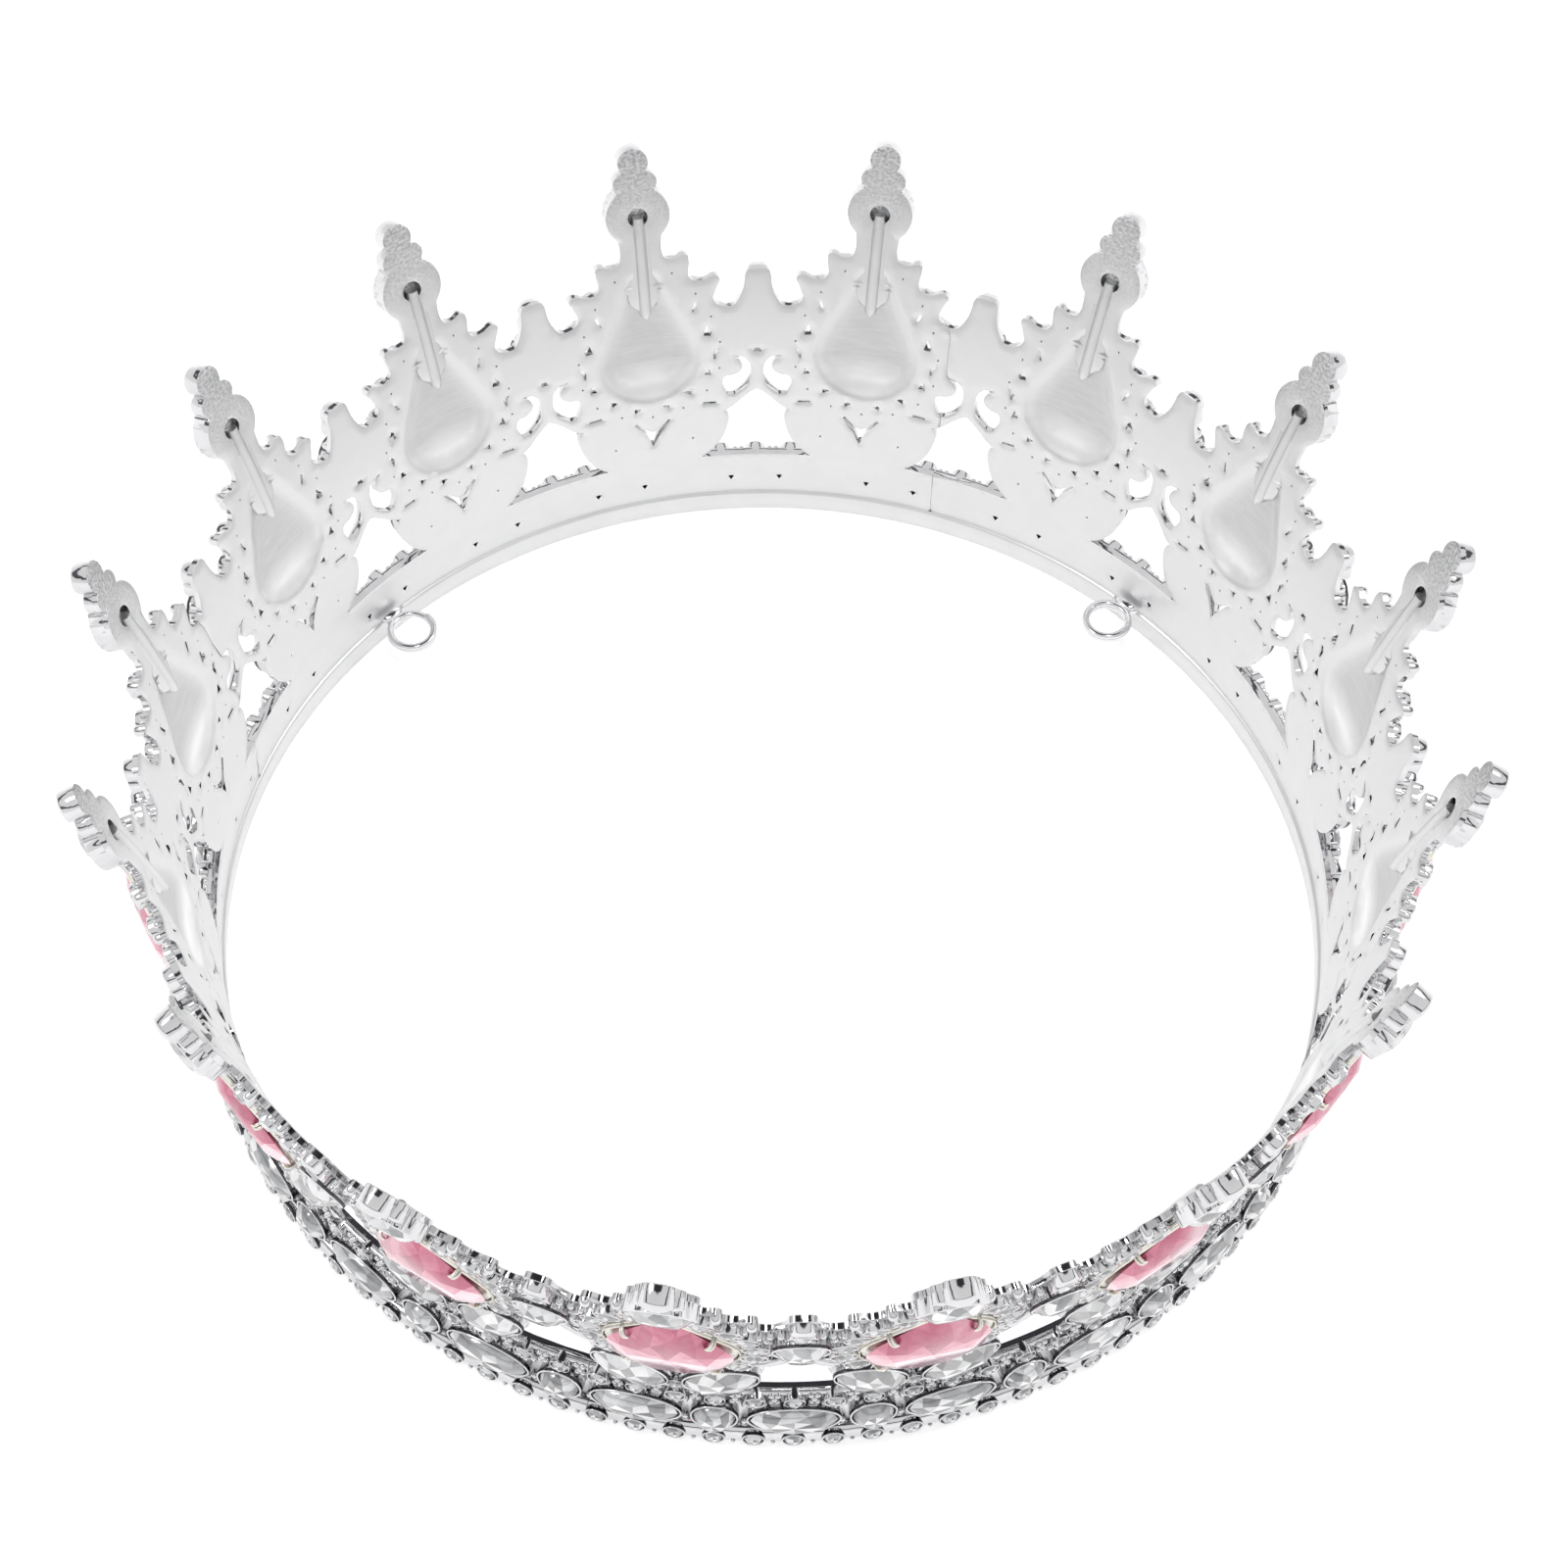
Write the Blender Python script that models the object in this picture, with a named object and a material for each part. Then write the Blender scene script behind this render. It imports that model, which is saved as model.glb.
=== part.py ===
# Full-round crown: four cast openwork panels bent into a ring, an inner base
# strip, sixteen pear stones in claw settings, sixteen round spire stones and
# two wire hair loops.
#
# Frame: metres, +Z up, origin on the crown's axis at the height of its base.
# The front of the crown faces -Y.
#
# The openwork is drawn on the flat in millimetres: x along the wall, s up the
# wall, w outward from the inner face. It is then bent round the ring and
# leaned outward along the wall's profile.

import math

import bmesh
import bpy
import numpy as np
from mathutils.geometry import delaunay_2d_cdt

MM = 0.001

# Ring and wall profile
SPIRES = 16
PITCH = 360.0 / SPIRES
PANELS = 4
SPIRES_PER_PANEL = SPIRES // PANELS
WALL_RADIUS = 77.0
BEND_START = 11.0
BEND_END = 16.0
WALL_TOP = 68.0
LEAN_LOW = 10.4
LEAN_TOP = 25.0
FLAT_SCALE = 1.4

# Thicknesses outward from the inner face
PLATE = 1.3
BAND_RAIL = 3.1
PEAR_SEAT = 1.6
STEM = 1.7
CUP_RIM = 3.3
LOBE = 2.6
KNOB = 3.0
KNOB_DOME = 3.6

# Band
BAND_TOP = 12.2
BAND_STONE_HEIGHT = 6.8
OVAL_HALF_WIDTH = 6.0
OVAL_HALF_HEIGHT = 3.1
ROUND_RADIUS = 3.0

# Spire cup and its stone
CUP_HEIGHT = 55.8
CUP_RADIUS = 4.7
CUP_BORE = 4.2
CUP_HOLE = 1.75
SPIRE_STONE_RADIUS = 3.85

# Pear seat, setting and stone
PEAR_HEIGHT = 31.8
PEAR_TAPER = 30.0
DISH_TAPER = 23.6
SEAT_RADIUS = 8.3
DISH_RADIUS = 6.6
DISH_DEPTH = 0.9
SETTING_RADIUS = 8.9
SETTING_BORE = 8.4
SETTING_RIM = 3.0
CLAW_TIP = 4.7
CLAW_CORNERS = (0, 4, 8, 12)
PEAR_STONE_RADIUS = 8.1

# Stone set on each gap, between two spires
GAP_STONE_HEIGHT = 36.6
GAP_STONE_RADIUS = 3.6

# Panel seams run beside a gap, in every fourth gap
FIRST_SEAM_GAP = 3
SEAM_CLEARANCE = 0.15

# Base strip and hair loops
STRIP_RADIUS = 76.25
STRIP_THICKNESS = 0.45
STRIP_HEIGHT = 3.8
LOOP_CENTRE_RADIUS = 72.15
LOOP_HEIGHT = 4.6
LOOP_RADIUS = 3.15
LOOP_WIRE = 0.45
LOOP_SOLDER = 0.5
LOOP_ANGLES = {"hair_loop_left": 225.0, "hair_loop_right": 135.0}


def lean_at(s):
    """Angle of the wall from the vertical, in degrees, at height s up it."""
    if s <= BEND_START:
        return 0.0
    if s <= BEND_END:
        return LEAN_LOW * (s - BEND_START) / (BEND_END - BEND_START)
    return LEAN_LOW + (LEAN_TOP - LEAN_LOW) * (s - BEND_END) / (WALL_TOP - BEND_END)


def wall_profile(step=0.25):
    """Radius and height of the inner face against distance up the wall."""
    distances = np.arange(0.0, WALL_TOP + 4.0, step)
    radii = [WALL_RADIUS]
    heights = [0.0]
    for s in distances[1:]:
        lean = math.radians(lean_at(s - step / 2))
        radii.append(radii[-1] + step * math.sin(lean))
        heights.append(heights[-1] + step * math.cos(lean))
    return distances, np.array(radii), np.array(heights)


PROFILE_S, PROFILE_R, PROFILE_Z = wall_profile()


def radius_at(s):
    return float(np.interp(s, PROFILE_S, PROFILE_R))


def bend(angle, s, w):
    """Point in metres at an angle in degrees anticlockwise from the front."""
    lean = math.radians(lean_at(s))
    radius = radius_at(s) + w * math.cos(lean)
    height = float(np.interp(s, PROFILE_S, PROFILE_Z)) - w * math.sin(lean)
    turn = math.radians(angle)
    return (radius * math.sin(turn) * MM, -radius * math.cos(turn) * MM, height * MM)


def at_axis(axis, x, s):
    """Angle of a point x millimetres to the side of an axis, at height s."""
    return axis + math.degrees(x / radius_at(s))


def gap_axis(index):
    return index * PITCH


def spire_axis(index):
    return (index + 0.5) * PITCH


def mirrored(points):
    return [(-x, s) for x, s in reversed(points)]


def circle(x, s, radius, count, start=0.0, end=360.0):
    """Points on a circle; a full turn leaves out the repeated last point."""
    full = abs(end - start) >= 360.0
    steps = count if full else count - 1
    points = []
    for i in range(count):
        angle = math.radians(start + (end - start) * i / steps)
        points.append((x + radius * math.cos(angle), s + radius * math.sin(angle)))
    return points


def ellipse(x, s, half_width, half_height, tilt, count):
    turn = math.radians(tilt)
    points = []
    for i in range(count):
        angle = 2 * math.pi * i / count
        along = half_width * math.cos(angle)
        across = half_height * math.sin(angle)
        px = x + along * math.cos(turn) - across * math.sin(turn)
        ps = s + along * math.sin(turn) + across * math.cos(turn)
        points.append((px, ps))
    return points


def pear(radius, round_count, taper_angle=PEAR_TAPER, tip_radius=0.8):
    """Pear outline, point up: a round lower part and straight flanks."""
    taper = math.radians(taper_angle)
    points = circle(0, PEAR_HEIGHT, radius, round_count, 180 - taper_angle, 360 + taper_angle)
    apex = PEAR_HEIGHT + radius / math.sin(taper)
    tip = apex - tip_radius / math.sin(taper)
    right = (tip_radius * math.cos(taper), tip + tip_radius * math.sin(taper))
    points.append(right)
    points.append((0.0, tip + tip_radius))
    points.append((-right[0], right[1]))
    return points


# Outline chains on the flat, one side only, in millimetres

KNOB_SIDE = [(0.0, 66.3), (1.55, 65.7), (2.2, 64.1)]
LOBE_SIDE = [(1.9, 62.75), (3.1, 61.9), (3.2, 60.6), (2.8, 59.4)]
CUP_SIDE = [(3.9, 58.4), (4.65, 56.5), (4.45, 54.3), (3.25, 52.3)]
TOOTH_SIDE = [(3.05, 48.7), (5.0, 48.3), (6.1, 48.85), (6.8, 48.2), (6.55, 45.6),
              (7.1, 44.5), (9.2, 44.5), (10.3, 45.0), (11.0, 44.2), (10.0, 41.8)]
NOTCH = [(6.1, 40.2), (4.9, 39.7), (3.75, 39.6)]
PEAK_SIDE = [(2.4, 41.1), (1.5, 43.2), (1.35, 45.5), (0.0, 46.1)]
ARCH_SIDE = [(8.1, BAND_TOP), (6.0, 14.3), (4.6, 17.0), (4.1, 19.4), (4.5, 21.0), (2.1, 23.3)]
ARCH_TOP = (0.0, 25.0)
SCROLL_INSIDE = [(3.3, 24.0), (2.2, 24.8), (1.2, 26.0), (0.9, 27.8), (1.1, 29.6), (2.0, 30.7)]
SCROLL_TIP = (3.6, 31.0)
SCROLL_OUTSIDE = [(2.6, 30.2), (2.15, 29.2), (2.4, 28.3), (3.4, 27.6), (4.7, 27.3), (5.0, 25.8),
                  (4.2, 24.1)]
RIB = [(-0.8, 52.0), (-0.8, 41.4), (0.0, 40.3), (0.8, 41.4), (0.8, 52.0)]


def anticlockwise(loop, coords):
    """The same loop of corners, turned round if it runs clockwise."""
    area = 0.0
    for a, b in zip(loop, loop[1:] + loop[:1]):
        area += coords[a][0] * coords[b][1] - coords[b][0] * coords[a][1]
    return loop if area > 0 else list(reversed(loop))


class Sheet:
    """A plate on the flat: points with an outer and an inner depth."""

    def __init__(self):
        self.points = []
        self.index = {}
        self.outline = []
        self.holes = []
        self.front_edges = []
        self.back_edges = []

    def add(self, axis, x, s, outer, inner=0.0):
        angle = at_axis(axis, x, s)
        key = (round(angle, 4), round(s, 4))
        if key not in self.index:
            self.index[key] = len(self.points)
            self.points.append((angle, s, outer, inner))
        return self.index[key]

    def chain(self, axis, points, outer, inner=0.0):
        return [self.add(axis, x, s, outer, inner) for x, s in points]

    def ring(self, axis, points, outer, inner=0.0, on_back=False):
        indices = self.chain(axis, points, outer, inner)
        edges = list(zip(indices, indices[1:] + indices[:1]))
        if on_back:
            self.back_edges.extend(edges)
        else:
            self.front_edges.extend(edges)
        return indices

    def triangles(self, side):
        edges = self.front_edges if side == "front" else self.back_edges
        loops = [self.outline] + self.holes
        used = sorted({i for loop in loops for i in loop} | {i for e in edges for i in e})
        local = {point: i for i, point in enumerate(used)}
        coords = [(self.points[i][0] * FLAT_SCALE, self.points[i][1]) for i in used]
        faces = [anticlockwise([local[i] for i in loop], coords) for loop in loops]
        lines = [(local[a], local[b]) for a, b in edges if a != b]
        result = delaunay_2d_cdt(coords, lines, faces, 0, 1e-6)
        source = result[3]
        kept = []
        for corners, owners in zip(result[2], result[5]):
            if 0 in owners and len(owners) == 1:
                kept.append([used[source[c][0]] for c in corners])
        return kept

    def build(self, name):
        """Closed solid: front skin, back skin and a wall round every edge."""
        mesh = bmesh.new()
        outer = {}
        inner = {}

        def outer_vertex(i):
            if i not in outer:
                angle, s, w, _ = self.points[i]
                outer[i] = mesh.verts.new(bend(angle, s, w))
            return outer[i]

        def inner_vertex(i):
            if i not in inner:
                angle, s, _, w = self.points[i]
                inner[i] = mesh.verts.new(bend(angle, s, w))
            return inner[i]

        for corners in self.triangles("front"):
            mesh.faces.new([outer_vertex(i) for i in corners])
        for corners in self.triangles("back"):
            mesh.faces.new([inner_vertex(i) for i in reversed(corners)])
        for loop in [self.outline] + self.holes:
            for a, b in zip(loop, loop[1:] + loop[:1]):
                mesh.faces.new([inner_vertex(a), inner_vertex(b), outer_vertex(b)])
                mesh.faces.new([inner_vertex(a), outer_vertex(b), outer_vertex(a)])
        return finish_mesh(name, mesh)


def finish_mesh(name, mesh):
    bmesh.ops.recalc_face_normals(mesh, faces=mesh.faces)
    if mesh.calc_volume(signed=True) < 0:
        bmesh.ops.reverse_faces(mesh, faces=mesh.faces)
    data = bpy.data.meshes.new(name)
    mesh.to_mesh(data)
    mesh.free()
    item = bpy.data.objects.new(name, data)
    bpy.context.scene.collection.objects.link(item)
    return item


def give_material(item, name, colour, metallic, roughness):
    """Each node has a material of its own, named after its node and class."""
    material = bpy.data.materials.new(item.name + "_" + name)
    material.use_nodes = True
    shader = material.node_tree.nodes["Principled BSDF"]
    shader.inputs["Base Color"].default_value = (*colour, 1.0)
    shader.inputs["Metallic"].default_value = metallic
    shader.inputs["Roughness"].default_value = roughness
    item.data.materials.append(material)


def spire_outline(sheet, axis):
    """Outline over one spire from its left notch to its right notch."""
    right = []
    right += [(x, s, KNOB) for x, s in KNOB_SIDE]
    right += [(x, s, LOBE) for x, s in LOBE_SIDE]
    right += [(x, s, CUP_RIM) for x, s in CUP_SIDE]
    right += [(x, s, PLATE) for x, s in TOOTH_SIDE]
    left = [(-x, s, w) for x, s, w in reversed(right[1:])]
    return [sheet.add(axis, x, s, w) for x, s, w in left + right]


def spire_relief(sheet, axis):
    """Cup, stem, knob, pear seat and leaf cups of one spire."""
    sheet.holes.append(sheet.chain(axis, circle(0, CUP_HEIGHT, CUP_HOLE, 8), PLATE))
    sheet.ring(axis, circle(0, CUP_HEIGHT, CUP_BORE, 8), CUP_RIM)
    sheet.ring(axis, circle(0, CUP_HEIGHT, CUP_BORE - 0.12, 8), PLATE)
    sheet.chain(axis, [(0.0, 64.0)], KNOB_DOME)
    knob = circle(0, 64.1, 2.1, 3, 235, 305)
    lobe = [(-2.0, 61.2), (0.0, 61.7), (2.0, 61.2)]
    stem = [(-2.9, 51.6), (0.0, 50.9), (2.9, 51.6)]
    for points, depth in ((knob, KNOB), (lobe, LOBE + 0.5), (stem, STEM)):
        indices = sheet.chain(axis, points, depth)
        sheet.front_edges.extend(zip(indices, indices[1:]))
    dome = sheet.add(axis, 0.0, 64.2, KNOB_DOME)
    sheet.front_edges.append((dome, sheet.add(axis, 0.0, 65.2, KNOB_DOME - 0.15)))

    sheet.ring(axis, pear(SEAT_RADIUS, 9), PEAR_SEAT)
    dish_edge = pear(DISH_RADIUS, 9, DISH_TAPER)
    dish_floor = [(x * 0.6, PEAR_HEIGHT + (s - PEAR_HEIGHT) * 0.6) for x, s in dish_edge]
    floor_low = [(x, s) for x, s in dish_floor if s < 38.0]
    sheet.ring(axis, [(x, s) for x, s in dish_edge if s < 40.0], 0.0, 0.0, on_back=True)
    sheet.ring(axis, floor_low, 0.0, DISH_DEPTH, on_back=True)
    sheet.ring(axis, RIB, 0.0, -0.5, on_back=True)

    for side in (-1, 1):
        for scale, depth in ((1.0, PLATE), (0.95, 2.6)):
            leaf = ellipse(side * 5.6, 17.5, 5.6 * scale, 3.6 * scale, side * 42.0, 8)
            sheet.ring(axis, leaf, depth)
        sheet.front_edges.append((sheet.add(axis, side * 4.6, 16.4, 3.7),
                                  sheet.add(axis, side * 7.2, 18.8, 3.7)))


def band_relief(sheet, first_gap, last_gap):
    """Oval and round stones in turn along the band."""
    for index in range(first_gap * 3 - 8, last_gap * 3 + 8):
        axis = index * PITCH / 3
        low = gap_axis(first_gap) + 3.6
        high = gap_axis(last_gap) + 1.8
        if not low < axis < high:
            continue
        if index % 2 == 0:
            half_width, half_height, count = OVAL_HALF_WIDTH, OVAL_HALF_HEIGHT, 8
        else:
            half_width, half_height, count = ROUND_RADIUS, ROUND_RADIUS, 6
        for inset, depth in ((0.0, PLATE + 0.6), (0.2, 3.1)):
            rim = ellipse(0, BAND_STONE_HEIGHT, half_width - inset, half_height - inset, 0, count)
            sheet.ring(axis, rim, depth)
        spread = half_width - half_height
        ends = [sheet.add(axis, -spread * 0.8 - 0.4, BAND_STONE_HEIGHT, 3.9),
                sheet.add(axis, spread * 0.8 + 0.4, BAND_STONE_HEIGHT, 3.9)]
        sheet.front_edges.append(tuple(ends))


def gap_relief(sheet, axis):
    """Round stone cup between two spires."""
    for radius, depth in ((GAP_STONE_RADIUS, PLATE), (GAP_STONE_RADIUS - 0.2, 2.7)):
        sheet.ring(axis, circle(0, GAP_STONE_HEIGHT, radius, 7), depth)
    sheet.front_edges.append((sheet.add(axis, -0.8, GAP_STONE_HEIGHT, 3.8),
                              sheet.add(axis, 0.8, GAP_STONE_HEIGHT, 3.8)))


def cast_panel(name, first_gap):
    """One cast panel, from the seam in one gap to the seam in another."""
    sheet = Sheet()
    last_gap = first_gap + SPIRES_PER_PANEL
    start = gap_axis(first_gap)
    end = gap_axis(last_gap)
    near = SEAM_CLEARANCE
    line = 3.7

    # Left seam, going up
    outline = sheet.chain(start, [(line + near, 0.0)], BAND_RAIL)
    outline += sheet.chain(start, [(line + near, 2.2)], BAND_RAIL)
    outline += sheet.chain(start, [(line + near, BAND_TOP)], PLATE)
    outline += sheet.chain(start, ARCH_SIDE[:5] + [(line + near, 21.65)], PLATE)
    outline += sheet.chain(start, list(reversed(SCROLL_OUTSIDE)), PLATE)
    outline += sheet.chain(start, [(SCROLL_TIP[0] + near, SCROLL_TIP[1])], PLATE)
    outline += sheet.chain(start, [(4.15 + near, GAP_STONE_HEIGHT), (4.9 + near, 39.8)], PLATE)
    outline += sheet.chain(start, NOTCH[:1], PLATE)

    # Spires and the peaks between them
    for index in range(first_gap, last_gap):
        outline += spire_outline(sheet, spire_axis(index))
        gap = gap_axis(index + 1)
        climb = NOTCH + PEAK_SIDE
        outline += sheet.chain(gap, [(-x, s) for x, s in climb], PLATE)
        if index + 1 < last_gap:
            outline += sheet.chain(gap, list(reversed(climb[:-1])), PLATE)

    # Right half of the last peak, then the right seam, going down
    outline += sheet.chain(end, list(reversed(PEAK_SIDE[:-1])), PLATE)
    outline += sheet.chain(end, [NOTCH[2], (4.9 - near, 39.65)], PLATE)
    outline += sheet.chain(end, [(4.15 - near, GAP_STONE_HEIGHT)], PLATE)
    outline += sheet.chain(end, [(SCROLL_TIP[0] - near, SCROLL_TIP[1])], PLATE)
    outline += sheet.chain(end, list(reversed(SCROLL_INSIDE)), PLATE)
    outline += sheet.chain(end, [(line - near, 23.95), (line - near, 21.95)], PLATE)
    outline += sheet.chain(end, [ARCH_SIDE[5], ARCH_TOP], PLATE)
    left_arch = [(-x, s) for x, s in ARCH_SIDE]
    outline += sheet.chain(end, list(reversed(left_arch)), PLATE)
    outline += sheet.chain(end, [(-4.2, BAND_TOP), (0.0, BAND_TOP), (line - near, BAND_TOP)], PLATE)
    outline += sheet.chain(end, [(line - near, 2.2), (line - near, 0.0)], BAND_RAIL)

    # Base line back to the start
    steps = SPIRES_PER_PANEL * 4
    base_start = at_axis(start, line + near, 0.0)
    base_end = at_axis(end, line - near, 0.0)
    for i in range(steps - 1, 0, -1):
        outline.append(sheet.add(base_start + (base_end - base_start) * i / steps, 0.0, 0.0, BAND_RAIL))
    sheet.outline = outline

    # Top of the rail above the base line
    rail = [sheet.add(base_start + (base_end - base_start) * i / steps, 0.0, 2.2, BAND_RAIL)
            for i in range(1, steps)]
    sheet.front_edges.extend(zip(rail, rail[1:]))

    # Openings
    for index in range(first_gap + 1, last_gap):
        gap = gap_axis(index)
        arch = ARCH_SIDE + [ARCH_TOP] + mirrored(ARCH_SIDE)
        arch += [(-4.2, BAND_TOP), (0.0, BAND_TOP), (4.2, BAND_TOP)]
        sheet.holes.append(sheet.chain(gap, arch, PLATE))
        scroll = SCROLL_INSIDE + [SCROLL_TIP] + SCROLL_OUTSIDE
        sheet.holes.append(sheet.chain(gap, scroll, PLATE))
        sheet.holes.append(sheet.chain(gap, mirrored(scroll), PLATE))
        gap_relief(sheet, gap)
    scroll = SCROLL_INSIDE + [SCROLL_TIP] + SCROLL_OUTSIDE
    sheet.holes.append(sheet.chain(end, mirrored(scroll), PLATE))
    gap_relief(sheet, end)

    for index in range(first_gap, last_gap):
        spire_relief(sheet, spire_axis(index))
    band_relief(sheet, first_gap, last_gap)
    return sheet.build(name)


def ring_stack(name, rings):
    """Solid through rings of points that all have the same number of corners."""
    mesh = bmesh.new()
    layers = [[mesh.verts.new(point) for point in ring] for ring in rings]
    for low, high in zip(layers, layers[1:]):
        count = len(low)
        for i in range(count):
            j = (i + 1) % count
            mesh.faces.new([low[i], low[j], high[j], high[i]])
    mesh.faces.new(list(reversed(layers[0])))
    mesh.faces.new(layers[-1])
    bmesh.ops.triangulate(mesh, faces=mesh.faces)
    return finish_mesh(name, mesh)


def scaled(points, factor, centre):
    return [(x * factor, centre + (s - centre) * factor) for x, s in points]


def bent_ring(axis, points, w):
    """Ring of points at one depth w, or at a depth for each point."""
    depths = w if isinstance(w, list) else [w] * len(points)
    return [bend(at_axis(axis, x, s), s, depth) for (x, s), depth in zip(points, depths)]


def spire_stone(name, axis):
    """Round faceted stone in the cup of a spire."""
    rings = [(1.2, 1.8), (SPIRE_STONE_RADIUS, 2.9), (SPIRE_STONE_RADIUS, 3.2), (2.2, 4.4)]
    stone = ring_stack(name, [bent_ring(axis, circle(0, CUP_HEIGHT, radius, 8), w)
                              for radius, w in rings])
    give_material(stone, "glass", (0.86, 0.88, 0.90), 0.0, 0.05)


def pear_stone(name, axis):
    """Pear stone: shallow back, girdle and a stepped crown with a table."""
    girdle = pear(PEAR_STONE_RADIUS, 9)
    middle = PEAR_HEIGHT + 1.5
    stone = ring_stack(name, [bent_ring(axis, scaled(girdle, 0.72, middle), 2.7),
                              bent_ring(axis, girdle, 3.0),
                              bent_ring(axis, girdle, 3.3),
                              bent_ring(axis, scaled(girdle, 0.62, middle), 5.3)])
    give_material(stone, "glass", (0.85, 0.35, 0.48), 0.0, 0.05)


def claw_setting(name, axis):
    """Pear tray with a low rim; its claws are taller stretches of the rim."""
    outer = pear(SETTING_RADIUS, 13)
    inner = pear(SETTING_BORE, 13)
    claws = [CLAW_TIP if i in CLAW_CORNERS else SETTING_RIM for i in range(len(outer))]
    floor = scaled(inner, 0.985, PEAR_HEIGHT)
    setting = ring_stack(name, [bent_ring(axis, outer, 2.0),
                                bent_ring(axis, outer, claws),
                                bent_ring(axis, inner, claws),
                                bent_ring(axis, floor, 2.4)])
    give_material(setting, "chrome", (0.80, 0.77, 0.70), 1.0, 0.15)


def round_point(radius, angle, height):
    turn = math.radians(angle)
    return (radius * math.sin(turn) * MM, -radius * math.cos(turn) * MM, height * MM)


def base_strip():
    """Thin strip soldered round the inside of the base."""
    mesh = bmesh.new()
    count = 96
    corners = [(STRIP_RADIUS, 0.0), (STRIP_RADIUS + STRIP_THICKNESS, 0.0),
               (STRIP_RADIUS + STRIP_THICKNESS, STRIP_HEIGHT), (STRIP_RADIUS, STRIP_HEIGHT)]
    sections = [[mesh.verts.new(round_point(radius, 360.0 * i / count, height))
                 for radius, height in corners] for i in range(count)]
    for i in range(count):
        near, far = sections[i], sections[(i + 1) % count]
        for k in range(4):
            j = (k + 1) % 4
            mesh.faces.new([near[k], near[j], far[j], far[k]])
    strip = finish_mesh("base_strip", mesh)
    give_material(strip, "chrome", (0.80, 0.80, 0.81), 1.0, 0.35)


def hair_loop(name, axis):
    """Wire ring lying level inside the base, thicker where it is soldered."""
    mesh = bmesh.new()
    around, section = 20, 8
    sections = []
    for i in range(around):
        turn = math.radians(360.0 * i / around)
        toward_wall = max(0.0, math.cos(turn)) ** 6
        wire = LOOP_WIRE + LOOP_SOLDER * toward_wall
        middle = LOOP_RADIUS - LOOP_SOLDER * toward_wall
        ring = []
        for k in range(section):
            roll = 2 * math.pi * k / section
            reach = middle + wire * math.cos(roll)
            along = reach * math.sin(turn)
            radius = LOOP_CENTRE_RADIUS + reach * math.cos(turn)
            height = LOOP_HEIGHT + wire * math.sin(roll)
            angle = axis + math.degrees(math.atan2(along, radius))
            ring.append(mesh.verts.new(round_point(math.hypot(along, radius), angle, height)))
        sections.append(ring)
    for i in range(around):
        near, far = sections[i], sections[(i + 1) % around]
        for k in range(section):
            j = (k + 1) % section
            mesh.faces.new([near[k], near[j], far[j], far[k]])
    loop = finish_mesh(name, mesh)
    for face in loop.data.polygons:
        face.use_smooth = True
    give_material(loop, "chrome", (0.80, 0.80, 0.81), 1.0, 0.2)


def clear_scene():
    for item in list(bpy.data.objects):
        bpy.data.objects.remove(item, do_unlink=True)


def main():
    clear_scene()
    for number in range(PANELS):
        panel = cast_panel(f"cast_panel_{number + 1}", FIRST_SEAM_GAP + number * SPIRES_PER_PANEL)
        give_material(panel, "chrome", (0.82, 0.82, 0.83), 1.0, 0.22)
    for number in range(SPIRES):
        axis = spire_axis(number)
        spire_stone(f"spire_stone_{number + 1:02d}", axis)
        claw_setting(f"claw_setting_{number + 1:02d}", axis)
        pear_stone(f"pear_stone_{number + 1:02d}", axis)
    base_strip()
    for name, axis in LOOP_ANGLES.items():
        hair_loop(name, axis)


main()
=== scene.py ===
import math

import bpy
import numpy as np
from mathutils import Matrix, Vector
from mathutils.geometry import delaunay_2d_cdt
from mathutils.kdtree import KDTree


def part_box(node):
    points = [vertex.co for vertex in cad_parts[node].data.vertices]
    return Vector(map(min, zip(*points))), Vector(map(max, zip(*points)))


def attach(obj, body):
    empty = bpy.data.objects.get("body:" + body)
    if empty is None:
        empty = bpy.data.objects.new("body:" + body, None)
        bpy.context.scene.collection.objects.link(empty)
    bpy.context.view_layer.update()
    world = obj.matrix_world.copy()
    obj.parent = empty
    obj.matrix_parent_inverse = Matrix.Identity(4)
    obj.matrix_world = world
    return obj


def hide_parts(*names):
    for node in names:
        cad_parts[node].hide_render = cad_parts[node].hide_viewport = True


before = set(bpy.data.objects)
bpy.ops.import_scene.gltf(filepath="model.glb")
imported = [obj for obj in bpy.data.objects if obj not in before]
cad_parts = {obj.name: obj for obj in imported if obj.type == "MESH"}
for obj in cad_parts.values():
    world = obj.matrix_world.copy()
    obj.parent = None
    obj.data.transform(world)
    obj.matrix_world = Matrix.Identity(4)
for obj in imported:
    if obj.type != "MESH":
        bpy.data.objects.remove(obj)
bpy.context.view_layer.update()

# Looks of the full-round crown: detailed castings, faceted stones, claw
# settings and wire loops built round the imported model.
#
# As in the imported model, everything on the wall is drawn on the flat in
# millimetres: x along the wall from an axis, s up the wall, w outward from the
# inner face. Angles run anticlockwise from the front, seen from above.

MM = 0.001
WHITE = (1.0, 1.0, 1.0)

# Ring and wall profile, as packed
SPIRES = 16
PITCH = 360.0 / SPIRES
PANELS = 4
SPIRES_PER_PANEL = SPIRES // PANELS
FIRST_SEAM_GAP = 3
SEAM_SIDE = 3.7
SEAM_LINE = [(0.0, 31.0), (0.45, 34.5), (0.55, 38.0), (1.1, 39.67)]
SEAM_HALF_GAP = 0.02
WALL_RADIUS = 77.0
LEAN_HEIGHTS = (0.0, 11.0, 16.0, 68.0)
LEAN_ANGLES = (0.0, 0.0, 10.4, 25.0)

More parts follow.
